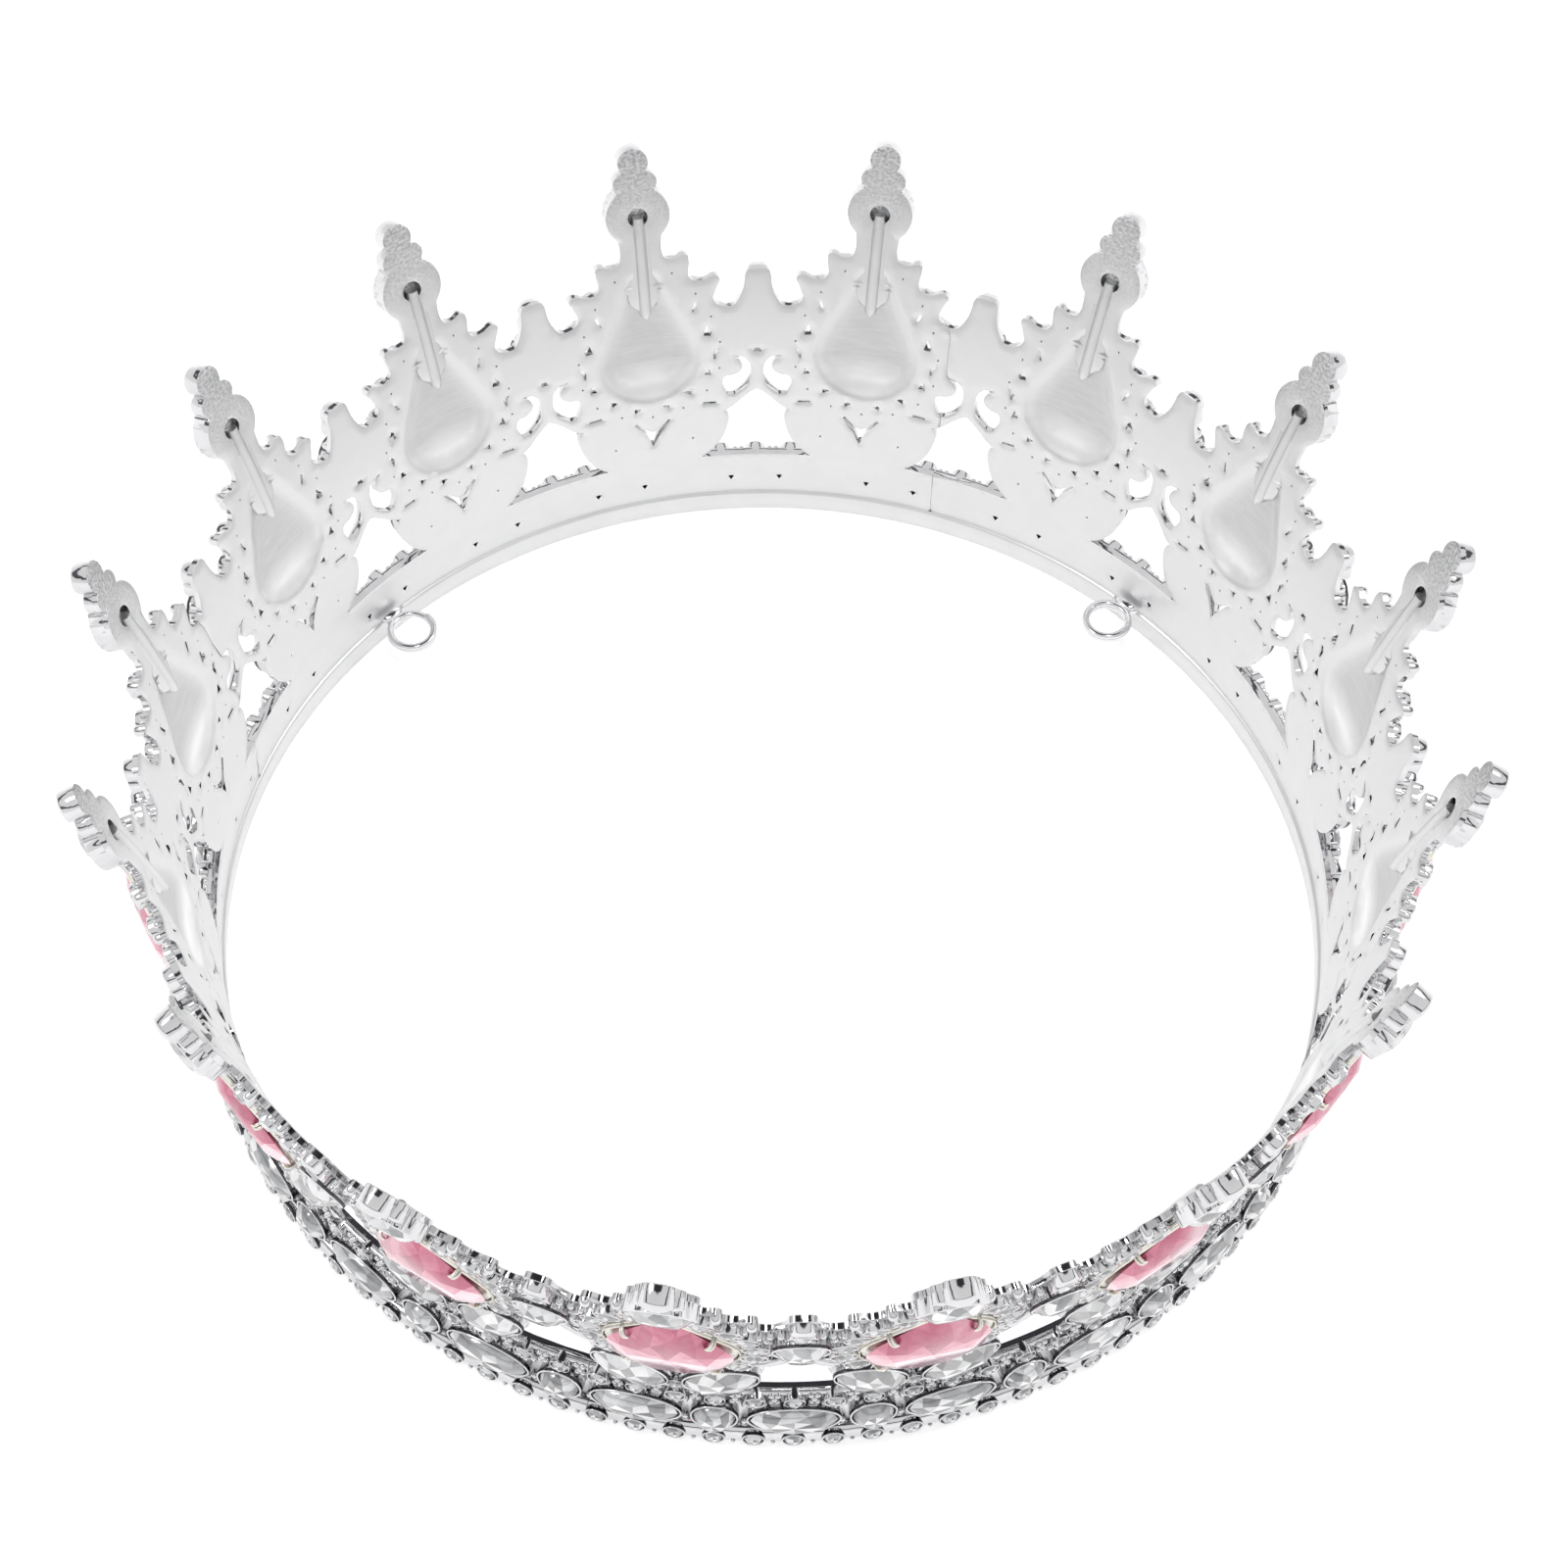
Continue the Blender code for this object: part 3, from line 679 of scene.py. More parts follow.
PEAK_SIDE = smooth([(3.3, 39.9), (2.75, 40.8), (2.25, 42.0), (1.95, 43.4), (1.85, 44.7),
                    (1.55, 45.55), (0.9, 45.9), (0.0, 45.95)], 2)
LEAF_SIDE = smooth([(8.1, BAND_TOP), (6.9, 13.2), (5.3, 15.4), (4.4, 17.7), (4.05, 19.8),
                    (4.4, 20.9)], 3)
ARCH_CUSP = (5.0, 21.15)
ARCH_LINE = smooth([(4.3, 21.35), (3.5, 21.9), (2.1, 23.3), (0.8, 24.5)], 2)
ARCH_TOP = (0.0, 25.0)
SCROLL_INSIDE = smooth([(3.3, 23.95), (2.2, 24.8), (1.2, 26.0), (0.9, 27.8), (1.1, 29.6),
                        (2.0, 30.7)], 3)
SCROLL_TIP = (3.6, 31.0)
SCROLL_OUTSIDE = smooth([(2.6, 30.2), (2.15, 29.2), (2.4, 28.3), (3.4, 27.6), (4.7, 27.3),
                         (5.05, 26.0), (4.2, 24.0)], 3)

# Pierced work of one spire, right side only, around places in millimetres
PIERCINGS = [
    [(6.6, 38.9), (6.95, 39.0), (7.5, 40.4), (7.2, 40.6)],
    [(8.2, 34.8), (9.2, 34.7), (9.4, 35.3), (8.7, 36.5)],
    [(9.5, 30.5), (9.75, 30.6), (9.9, 31.6), (10.4, 32.3), (9.9, 32.3), (9.4, 31.6)],
    [(8.0, 27.9), (9.0, 27.7), (8.75, 29.1)],
    [(4.9, 25.0), (5.9, 24.5), (6.0, 25.4)],
    [(1.6, 23.0), (2.5, 22.4), (2.7, 23.3)],
]
LEAF_SLIT = [(7.6, 22.6), (9.5, 22.5), (9.5, 22.8), (7.6, 22.9)]
V_SLOT = [(0.0, 15.6), (0.9, 17.9), (2.7, 20.2), (2.4, 20.5), (0.9, 18.9), (0.0, 18.5),
          (-0.9, 18.9), (-2.4, 20.5), (-2.7, 20.2), (-0.9, 17.9)]
BAND_PIERCING = [(0.0, 6.4), (0.45, 7.3), (0.0, 7.4), (-0.45, 7.3)]
GAP_PIERCING = [(-0.6, 31.6), (0.6, 31.6), (0.35, 32.25), (-0.35, 32.25)]


def dish_depth(x, s):
    """Depth of the back of a spire, hollowed behind the pear stone."""
    taper = math.radians(DISH_TAPER)
    up = s - PEAR_HEIGHT
    side = np.abs(x)
    on_flank = np.arctan2(up, side) > taper
    reach = np.where(on_flank, side * math.cos(taper) + up * math.sin(taper), np.hypot(side, up))
    inward = np.maximum(DISH_RIM - reach, 0.0)
    depths = np.interp(inward, [d for d, _ in DISH_STEPS], [w for _, w in DISH_STEPS])
    return np.where(s > DISH_TOP, 0.0, depths)


def apart(candidates, others, distance):
    """The candidates further than a distance from all the others."""
    tree = KDTree(len(others))
    for number, (x, s) in enumerate(others):
        tree.insert((x, s, 0.0), number)
    tree.balance()
    return [(x, s) for x, s in candidates if tree.find((x, s, 0.0))[2] > distance]


class Plate:
    """Pierced plate on the flat, in (degrees * MM_PER_DEGREE, s). Its loops are
    the outline and then the holes, all with the metal on their left."""

    def __init__(self):
        self.points = []
        self.loops = []
        self.back_lines = []
        self.pits = set()

    def chain(self, axis, points):
        start = len(self.points)
        for x, s in points:
            self.points.append((angle_at(axis, x, s) * MM_PER_DEGREE, s))
        return list(range(start, len(self.points)))

    def close(self, loop):
        """Keep the outline anticlockwise, and each hole after it clockwise."""
        x, s = np.array([self.points[i] for i in loop]).T
        anticlockwise = np.sum(x * np.roll(s, -1) - np.roll(x, -1) * s) > 0
        is_hole = len(self.loops) > 0
        self.loops.append(loop if anticlockwise != is_hole else loop[::-1])

    def hole(self, axis, points):
        self.close(self.chain(axis, points))

    def line(self, axis, points, closed=True):
        """A crease of the back."""
        indices = self.chain(axis, points)
        self.back_lines.extend(zip(indices, indices[1:] + indices[:1] if closed else indices[1:]))
        return indices

    def insets(self):
        """Points just inside every edge, where its rounding ends."""
        found = []
        for loop in self.loops:
            ring = np.array([self.points[i] for i in loop])
            ahead = np.roll(ring, -1, axis=0) - np.roll(ring, 1, axis=0)
            ahead /= np.maximum(np.linalg.norm(ahead, axis=1), 1e-9)[:, None]
            found.extend(ring + np.stack([-ahead[:, 1], ahead[:, 0]], axis=1) * EDGE_INSET)
        return found

    def lattice(self, spacing):
        ring = np.array([self.points[i] for i in self.loops[0]])
        low, high = ring.min(axis=0), ring.max(axis=0)
        found = []
        for row, s in enumerate(np.arange(low[1] + 0.4, high[1], spacing * ROW_SHARE)):
            for x in np.arange(low[0] + (row % 2) * spacing / 2, high[0], spacing):
                found.append((x, s))
        return found

    def skin(self, lines, spacing):
        """Places of one side's corners, its triangles, and the point that each
        corner was made from, or -1."""
        used = sorted({i for loop in self.loops + lines for i in loop})
        local = {point: i for i, point in enumerate(used)}
        coords = [self.points[i] for i in used]
        coords += apart(self.insets(), coords, EDGE_INSET * 0.8)
        coords += apart(self.lattice(spacing), coords, spacing * 0.45)
        loops = [[local[i] for i in loop] for loop in self.loops]
        anticlockwise = loops[:1] + [loop[::-1] for loop in loops[1:]]
        edges = [(local[a], local[b]) for a, b in lines]
        result = delaunay_2d_cdt(coords, edges, anticlockwise, 0, 1e-6)
        kept = [corners for corners, owners in zip(result[2], result[5]) if owners == [0]]
        origins = [used[o[0]] if o and o[0] < len(used) else -1 for o in result[3]]
        return np.array([tuple(p) for p in result[0]]), kept, origins

    def solid(self):
        """Rows of (degrees, s, w), then the front, edge and back faces."""
        rim = {i for loop in self.loops for i in loop}
        rows = []
        sides = []
        rims = []
        for lines, spacing, is_back in (([], FRONT_SPACING, False),
                                        (self.back_lines, BACK_SPACING, True)):
            places, kept, origins = self.skin(lines, spacing)
            first = len(rows)
            angles = places[:, 0] / MM_PER_DEGREE
            nearest = (np.floor(angles / PITCH) + 0.5) * PITCH
            x = np.radians(angles - nearest) * np.interp(places[:, 1], PROFILE_S, PROFILE_R)
            dish = dish_depth(x, places[:, 1])
            depths = dish if is_back else np.maximum(PLATE, dish + DISH_FRONT)
            corners = {}
            for i, origin in enumerate(origins):
                w = depths[i]
                if origin in rim:
                    w = EDGE_ROUND if is_back else PLATE - EDGE_ROUND
                    corners[origin] = first + i
                elif is_back and origin in self.pits:
                    w = PIT_DEPTH
                rows.append((angles[i], places[i, 1], w))
            turn = -1 if is_back else 1
            sides.append([tuple(first + c for c in face[::turn]) for face in kept])
            rims.append(corners)
        front, back = rims
        edges = []
        for loop in self.loops:
            for a, b in zip(loop, loop[1:] + loop[:1]):
                edges.append((back[a], back[b], front[b], front[a]))
        return np.array(rows), sides[0], edges, sides[1]


def spire_line():
    """Outline over a spire, from its left notch to its right one."""
    right = KNOB_ARC + LOBE_ARC + CUP_ARC + STEM_LINE + TOOTH_1 + TOOTH_2
    return mirrored(right[1:]) + right


def plate_outline(plate, first_gap, last_gap):
    start, end = gap_axis(first_gap), gap_axis(last_gap)
    near, far = SEAM_SIDE + SEAM_HALF_GAP, SEAM_SIDE - SEAM_HALF_GAP
    line = plate.chain(start, [(near, 0.0), (near, 4.0), (near, 8.0), (near, BAND_TOP)])
    line += plate.chain(start, LEAF_SIDE + [ARCH_CUSP, ARCH_LINE[0], (near, 21.72)])
    line += plate.chain(start, [(near, 23.95)] + SCROLL_OUTSIDE[::-1])
    line += plate.chain(start, [(near + x, s) for x, s in SEAM_LINE] + NOTCH[2::-1])
    for index in range(first_gap, last_gap):
        line += plate.chain(spire_axis(index), spire_line())
        gap = gap_axis(index + 1)
        climb = NOTCH + PEAK_SIDE
        line += plate.chain(gap, [(-x, s) for x, s in climb])
        if index + 1 < last_gap:
            line += plate.chain(gap, climb[:-1][::-1])
    line += plate.chain(end, PEAK_SIDE[:-1][::-1] + NOTCH[:2:-1])
    line += plate.chain(end, [(far + x, s) for x, s in SEAM_LINE[::-1]] + SCROLL_INSIDE[::-1])
    line += plate.chain(end, [(far, 23.95), (far, 21.83)] + ARCH_LINE[2:] + [ARCH_TOP])
    line += plate.chain(end, [(-x, s) for x, s in ARCH_LINE[::-1] + [ARCH_CUSP] + LEAF_SIDE[::-1]])
    line += plate.chain(end, [(-4.2, BAND_TOP), (0.0, BAND_TOP), (far, BAND_TOP)])
    line += plate.chain(end, [(far, 8.0), (far, 4.0), (far, 0.0)])
    base_start = angle_at(start, near, 0.0)
    base_end = angle_at(end, far, 0.0)
    for angle in np.linspace(base_end, base_start, SPIRES_PER_PANEL * 12 + 1)[1:-1]:
        line += plate.chain(angle, [(0.0, 0.0)])
    plate.close(line)


def plate_holes(plate, first_gap, last_gap):
    arch_side = LEAF_SIDE + [ARCH_CUSP] + ARCH_LINE
    sill = [(x, BAND_TOP) for x in (-6.3, -4.2, -2.1, 0.0, 2.1, 4.2, 6.3)]
    scroll = SCROLL_INSIDE + [SCROLL_TIP] + SCROLL_OUTSIDE
    for index in range(first_gap + 1, last_gap):
        gap = gap_axis(index)
        plate.hole(gap, arch_side + [ARCH_TOP] + mirrored(arch_side) + sill)
        plate.hole(gap, scroll)
        plate.hole(gap, mirrored(scroll))
        plate.hole(gap, GAP_PIERCING)
    plate.hole(gap_axis(last_gap), mirrored(scroll))
    for index in range(first_gap, last_gap):
        axis = spire_axis(index)
        plate.hole(axis, arc(0, CUP_HEIGHT - 0.2, CUP_HOLE_RADIUS, 0, 337.5, 16))
        plate.hole(axis, V_SLOT)
        for points in PIERCINGS + [LEAF_SLIT]:
            plate.hole(axis, points)
            plate.hole(axis, mirrored(points))
    for index in range(first_gap * 3, last_gap * 3 + 1, 2):    # axes of the round stones
        for side in (-6.5, 6.5):
            axis = angle_at(index * PITCH / 3, side, 6.0)
            if gap_axis(first_gap) + 4.0 < axis < gap_axis(last_gap) + 1.6:
                plate.hole(axis, BAND_PIERCING)


def plate_back(plate, first_gap, last_gap):
    """Creases of the dishes and the pits behind the small stones."""
    for index in range(first_gap, last_gap):
        axis = spire_axis(index)
        for inward, _ in DISH_STEPS[:4]:
            ring = pear_points(DISH_RIM - inward, DISH_TAPER, 0.3, 21)
            low = [tuple(p) for p in np.roll(ring, 11, axis=0) if p[1] < 45.2]
            plate.line(axis, low, closed=False)
        pits = [(x * side, s) for x, s in SPRAY for side in (-1, 1)]
        pits += [(0.0, UNDER_PEAR_HEIGHT), (-LEAF_PLACE[0], 16.4), (LEAF_PLACE[0], 16.4)]
        for x, s in pits:
            plate.line(axis, arc(x, s, PIT_RADIUS, 0, 300, 6))
            plate.pits.add(plate.line(axis, [(x, s), (x + 0.05, s)], closed=False)[0])


def casting_plate(piece, first_gap, last_gap):
    """Plate of one panel, satin with polished edges."""
    plate = Plate()
    plate_outline(plate, first_gap, last_gap)
    plate_holes(plate, first_gap, last_gap)
    plate_back(plate, first_gap, last_gap)
    rows, front, edges, back = plate.solid()
    angles, s, w = rows.T
    points = wall(angles, np.column_stack([np.zeros(len(rows)), s, w]))
    flat = np.column_stack([np.radians(angles) * WALL_RADIUS, s, w])
    first = len(piece.faces) + len(front)
    piece.add(points, front + edges + back, flat, SATIN)
    for number in range(first, first + len(edges)):
        piece.materials[number] = POLISHED


# ------------------------------------------------------ casting: raised work

def chaton(x, s, radius, high):
    """Little cup for a small stone."""
    return bezel(oval_outline(radius, radius, 16, (x, s)), radius * 0.15, FOOT, high)


# Small pins: along and up the wall, radius, end. Those of the rail and the
# band repeat at each small stone; the others stand on both sides of an axis.
TOOTH_PEGS = [(6.05, 48.05, 0.78, 2.1), (3.9, 47.85, 0.5, 1.7), (10.3, 44.1, 0.78, 2.1),
              (8.0, 43.7, 0.5, 1.7), (9.2, 41.4, 0.6, 2.0)]
SPIRE_BEADS = [(5.7, 46.2, 0.5, 2.0), (5.3, 43.6, 0.5, 2.0), (9.0, 40.4, 0.5, 2.0),
               (11.4, 38.6, 0.55, 1.9), (11.9, 36.0, 0.5, 1.9), (12.2, 31.4, 0.5, 1.9),
               (12.0, 29.2, 0.45, 1.9), (9.6, 26.7, 0.45, 1.9), (6.6, 23.3, 0.45, 1.9),
               (2.3, 20.8, 0.45, 1.9)]
GAP_PEGS = [(2.5, 40.1, 0.55, 2.2), (3.8, 39.0, 0.55, 2.0), (5.3, 39.1, 0.6, 2.2)]
RAIL_BEADS = [(2.5, 0.8, 0.3, 3.3), (2.05, 11.5, 0.48, 2.2), (2.95, 11.5, 0.48, 2.2),
              (2.5, 10.65, 0.5, 2.3), (2.15, 9.8, 0.45, 2.2), (2.9, 9.8, 0.45, 2.2)]
BAND_BEADS = [(-1.2, 4.4), (1.2, 4.4), (0.0, 5.3), (0.0, 8.2), (-1.2, 9.1), (1.2, 9.1)]

# Scroll lines on both sides of a gap: places, half width, top
GAP_RIDGES = [([(0.35, 32.0), (0.25, 29.5), (0.5, 27.2), (1.6, 25.0), (3.6, 23.2), (5.2, 22.6)],
               0.42, 1.6),
              ([(0.15, 25.8), (1.2, 24.6), (2.6, 23.2), (4.4, 21.9)], 0.3, 1.5),
              ([(4.2, 31.6), (3.0, 30.2), (3.0, 29.0), (4.2, 28.2), (5.4, 27.9)], 0.38, 1.6)]


def cup_solids():
    """Knob, lobes and fluted cup at the tip of a spire."""
    knob = oval_outline(KNOB_RADIUS, KNOB_RADIUS, 20, (0.0, KNOB_HEIGHT))
    solids = [button(knob, 0.4, 2.9, 0.5, 0.5), peg(0.0, LOBE_HEIGHT + 0.6, 0.8, 0.5, 2.9, 12)]
    for side in (-1, 1):
        lobe = oval_outline(1.65, 1.65, 16, (side * 1.5, LOBE_HEIGHT))
        solids.append(button(lobe, 0.4, 2.5, 0.2, 0.3))
    cup = fluted_outline(CUP_RADIUS, 20, 0.2, (0.0, CUP_HEIGHT))
    solids.append(bezel(cup, 0.36, 0.4, CUP_DEPTH))
    return solids


def spire_solids():
    """Raised work of one spire, round its axis."""
    solids = cup_solids()
    solids.append(ridge([(0.0, 52.2), (0.0, 50.6), (0.0, 48.6)], 2.6, 0.5, 1.9))
    for x in (-1.6, 0.0, 1.6):
        solids.append(ridge([(x, 52.0), (x, 50.5), (x, 48.8)], 0.55, FOOT, 2.3))
    seat = pear_outline(SEAT_RADIUS)
    section = [(2.4, 1.6), (0.0, 0.9), (0.0, 1.75), (0.15, 1.9), (2.4, 1.9)]
    solids.append(stack([level(seat(offset), w) for offset, w in section], closed=True))
    solids.append(chaton(0.0, UNDER_PEAR_HEIGHT, 1.6, 2.4))
    solids.append(chaton(0.0, UNDER_LEAVES_HEIGHT, 1.3, 2.3))
    for side in (-1, 1):
        for x, s in SPRAY:
            solids.append(chaton(side * x, s, SPRAY_RADIUS, 2.4))
        leaf = oval_outline(*LEAF, 36, (side * LEAF_PLACE[0], LEAF_PLACE[1]), side * LEAF_TILT)
        solids.append(bezel(leaf, 0.34, FOOT, 2.6, painted_shade_wall=True))
        for x, s, radius, high in TOOTH_PEGS:
            solids.append(peg(side * x, s, radius, 0.3, high, 12))
        for x, s, radius, high in SPIRE_BEADS:
            solids.append(peg(side * x, s, radius, FOOT, high))
        stalk = smooth([(side * 0.7, 15.7), (side * 1.2, 17.8), (side * 2.4, 19.8)], 3)
        solids.append(ridge(stalk, 0.35, FOOT, 1.9))
    return solids


def spire_back_solids():
    """Flat strip and narrow rib on the inside of a spire, facing inward."""
    widths = np.interp(smooth_rows(STRIP_ROWS), (40.2, 41.0, 42.5, 51.5), (0.9, 1.9, 2.3, 2.3))
    rib_widths = np.interp(smooth_rows(RIB_ROWS), (39.2, 39.7, 41.0, 53.0, 55.6),
                           (0.35, 0.85, 1.0, 0.95, 0.75))
    solids = []
    for rows, half, low, high in ((STRIP_ROWS, widths, 1.2, -0.14),
                                  (RIB_ROWS, rib_widths, 1.0, -0.5)):
        path = [(0.0, s) for s in smooth_rows(rows)]
        points, faces = ridge(path, half, -low, -high)
        points[:, 2] *= -1
        solids.append((points, [face[::-1] for face in faces]))
    return solids


def smooth_rows(rows):
    return [s for _, s in smooth([(0.0, s) for s in rows], 2)]


def gap_solids():
    """Raised work between two spires, round the gap."""
    cup = fluted_outline(GAP_STONE_RADIUS, 18, 0.1, (0.0, GAP_STONE_HEIGHT))
    peak = fluted_outline(1.65, 6, 0.1, (0.0, PEAK_TOP_HEIGHT))
    section = [(0.0, 0.3), (0.0, 2.2), (0.12, 2.45), (0.5, 2.6)]
    solids = [bezel(cup, 0.3, FOOT, 3.3, painted_shade_wall=True),
              chaton(0.0, PEAK_CHATON_HEIGHT, 1.95, 2.7),
              stack([level(peak(offset), w) for offset, w in section])]
    for side in (-1, 1):
        for x, s, radius, high in GAP_PEGS:
            solids.append(peg(side * x, s, radius, 0.4, high, 10))
        for places, half_width, high in GAP_RIDGES:
            path = smooth([(side * x, s) for x, s in places], 3)
            solids.append(ridge(path, half_width, FOOT, high))
    return solids


def band_places(first_gap, last_gap):
    """Number and axis of every small stone of the band between two seams."""
    low, high = (angle_at(gap_axis(gap), SEAM_SIDE, 2.0) for gap in (first_gap, last_gap))
    step = 360.0 / CHATONS_ROUND_BAND
    places = [(number, number * step) for number in range(CHATONS_ROUND_BAND * 2)]
    return [(number, axis) for number, axis in places if low < axis <= high]


def band_solids(piece, first_gap, last_gap):
    """Rail, stone rims, small cups and beads along the band of one panel. An
    oval, beads, a round stone and beads again follow each other."""
    low = angle_at(gap_axis(first_gap), SEAM_SIDE + 0.06, 2.0)
    high = angle_at(gap_axis(last_gap), SEAM_SIDE - 0.06, 2.0)
    run = np.linspace(0.0, math.radians(high - low) * WALL_RADIUS, 97)
    piece.on_wall(low, ridge([(x, RAIL_TOP / 2) for x in run], RAIL_TOP / 2, 0.6, RAIL))
    piece.on_wall(low, ridge([(x, BAND_TOP - 0.55) for x in run], 0.5, 0.6, 1.75))
    low_rim = oval_outline(LOW_CHATON_RADIUS, LOW_CHATON_RADIUS, 20, (0.0, LOW_CHATON_HEIGHT))
    oval = oval_outline(*OVAL, 40, (0.0, BAND_STONE_HEIGHT))
    circle = oval_outline(*ROUND, 28, (0.0, BAND_STONE_HEIGHT))
    for number, axis in band_places(first_gap, last_gap):
        piece.on_wall(axis, bezel(low_rim, 0.2, 2.6, RAIL + 0.3, painted_shade_wall=True))
        piece.on_wall(axis, chaton(0.0, HIGH_CHATON_HEIGHT, HIGH_CHATON_RADIUS, 2.7))
        for x, s, radius, end in RAIL_BEADS:
            piece.on_wall(axis, peg(x, s, radius, end - 0.8, end))
        if number % 2 == 0:
            rim = oval if number % 4 == 0 else circle
            piece.on_wall(axis, bezel(rim, 0.3, 0.9, BAND_RIM_TOP, painted_shade_wall=True))
        else:
            for x, s in BAND_BEADS:
                piece.on_wall(axis, peg(x, s, 0.55, FOOT, 2.3))


def casting(number):
    first_gap = FIRST_SEAM_GAP + number * SPIRES_PER_PANEL
    last_gap = first_gap + SPIRES_PER_PANEL
    piece = Piece(f"casting_{number + 1}")
    casting_plate(piece, first_gap, last_gap)
    for index in range(first_gap, last_gap):
        for solid in SPIRE_SOLIDS:
            piece.on_wall(spire_axis(index), solid)
        for solid in SPIRE_BACK:
            piece.on_wall(spire_axis(index), solid, SATIN)
        for solid in GAP_SOLIDS:
            piece.on_wall(gap_axis(index + 1), solid)
    band_solids(piece, first_gap, last_gap)
    piece.make([polished, satin, painted_shade], [f"cast_panel_{number + 1}"])


# ------------------------------------------------------------- clear stones

def oval_gem(half_width, half_height, count, depths, **shape):
    outline = oval_outline(half_width, half_height, count)()
    return gem(outline, (0.0, 0.0), depths, **shape)


def set_round(piece, axis, x, s, radius, count, depths):
    piece.stone(axis, (x, s, 0.0), oval_gem(radius, radius, count, depths))


def set_stones(number):
    """Clear stones of one panel: the band's, and the openwork's."""
    first_gap = FIRST_SEAM_GAP + number * SPIRES_PER_PANEL
    last_gap = first_gap + SPIRES_PER_PANEL
    band = Piece(f"band_stones_{number + 1}")
    for count, axis in band_places(first_gap, last_gap):
        set_round(band, axis, 0.0, LOW_CHATON_HEIGHT, LOW_CHATON_RADIUS - CHATON_FIT, 8,
                  LOW_CHATON_STONE)
        set_round(band, axis, 0.0, HIGH_CHATON_HEIGHT, HIGH_CHATON_RADIUS - CHATON_FIT, 8,
                  HIGH_CHATON_STONE)
        if count % 2 == 0:
            size, depths = (OVAL, OVAL_STONE) if count % 4 == 0 else (ROUND, ROUND_STONE)
            solid = oval_gem(size[0] - BAND_STONE_FIT, size[1] - BAND_STONE_FIT, 16, depths)
            band.stone(axis, (0.0, BAND_STONE_HEIGHT, 0.0), solid)
    band.make([clear])

    spray = Piece(f"spray_stones_{number + 1}")
    for index in range(first_gap, last_gap):
        axis = spire_axis(index)
        for side in (-1, 1):
            for x, s in SPRAY:
                set_round(spray, axis, side * x, s, SPRAY_RADIUS * 0.8, 12, SPRAY_STONE)
            leaf = oval_gem(LEAF[0] - LEAF_STONE_FIT, LEAF[1] - LEAF_STONE_FIT, 16, LEAF_STONE)
            spray.stone(axis, (side * LEAF_PLACE[0], LEAF_PLACE[1], 0.0), leaf, side * LEAF_TILT)
        set_round(spray, axis, 0.0, UNDER_PEAR_HEIGHT, 1.25, 12, SMALL_STONE)
        set_round(spray, axis, 0.0, UNDER_LEAVES_HEIGHT, 1.0, 12, SMALL_STONE)
        gap = gap_axis(index + 1)
        set_round(spray, gap, 0.0, GAP_STONE_HEIGHT, GAP_STONE_RADIUS - GAP_STONE_FIT, 16, GAP_STONE)
        set_round(spray, gap, 0.0, PEAK_CHATON_HEIGHT, 1.55, 12, PEAK_STONE)
    spray.make([clear])


def spire_gem(number):
    piece = Piece(f"spire_gem_{number + 1:02d}")
    radius = CUP_RADIUS - CUP_STONE_FIT
    solid = oval_gem(radius, radius, 16, SPIRE_STONE, table=0.6, point=1.0)
    piece.stone(spire_axis(number), (0.0, CUP_HEIGHT, 0.0), solid)
    piece.make([clear], [f"spire_stone_{number + 1:02d}"])


# ---------------------------------------------------------- pears in claws

def pear_gem(number):
    perimeter = resampled(pear_outline(PEAR_STONE_RADIUS)(), 22) - (0.0, PEAR_HEIGHT)
    # The lower side painted paler, as a reflection of the bright floor
    solid = gem(perimeter, (0.0, PEAR_MIDDLE), PEAR_STONE, table=0.62, middle=0.84, rise=0.96,
                bright=0.62)
    piece = Piece(f"pear_gem_{number + 1:02d}")
    piece.stone(spire_axis(number), (0.0, PEAR_HEIGHT, 0.0), solid)
    piece.make([rose], [f"pear_stone_{number + 1:02d}"])


def claw(foot, inward):
    """Folded wire claw: up the outside, over the edge, a turn, and back."""
    across = np.array([-inward[1], inward[0]])
    leg = [(0.0, 1.9), (-0.05, 2.5), (0.0, 3.0), (0.15, 3.35), (0.4, 3.6), (0.6, 3.65)]
    path = [(*(foot + inward * d + across * CLAW_HALF_SPAN), h) for d, h in leg]
    for a in np.radians([45, 90, 135]):
        reach = 0.65 + CLAW_HALF_SPAN * math.sin(a)
        path.append((*(foot + inward * reach + across * CLAW_HALF_SPAN * math.cos(a)), 3.63))
    path += [(*(foot + inward * d - across * CLAW_HALF_SPAN), h) for d, h in leg[::-1]]
    return tube(path, CLAW_WIRE)


def claw_mount(number):
    """Pear setting: two rims, a floor and four claws."""
    axis = spire_axis(number)
    piece = Piece(f"claw_mount_{number + 1:02d}")
    outline = pear_outline(SETTING_RADIUS, tip_radius=1.3)
    low = pear_outline(SETTING_RADIUS + 0.1, tip_radius=1.4)
    floor = pear_outline(SETTING_RADIUS - 0.4, tip_radius=0.9)
    piece.on_wall(axis, bezel(outline, 0.22, SETTING_FOOT, 2.6))
    piece.on_wall(axis, bezel(low, 0.3, SETTING_FOOT, 2.2))
    piece.on_wall(axis, stack([level(floor(), 1.92), level(floor(), 2.3), level(floor(0.2), 2.4)]))
    steps = 200
    ring = resampled(outline(0.1), steps)
    for share in CLAW_PLACES:
        index = int(share * steps)
        along = ring[(index + 3) % steps] - ring[index - 3]
        inward = np.array([-along[1], along[0]]) / np.linalg.norm(along)
        piece.on_wall(axis, claw(ring[index], inward))
    piece.make([warm], [f"claw_setting_{number + 1:02d}"])


# --------------------------------------------------------- strip and loops

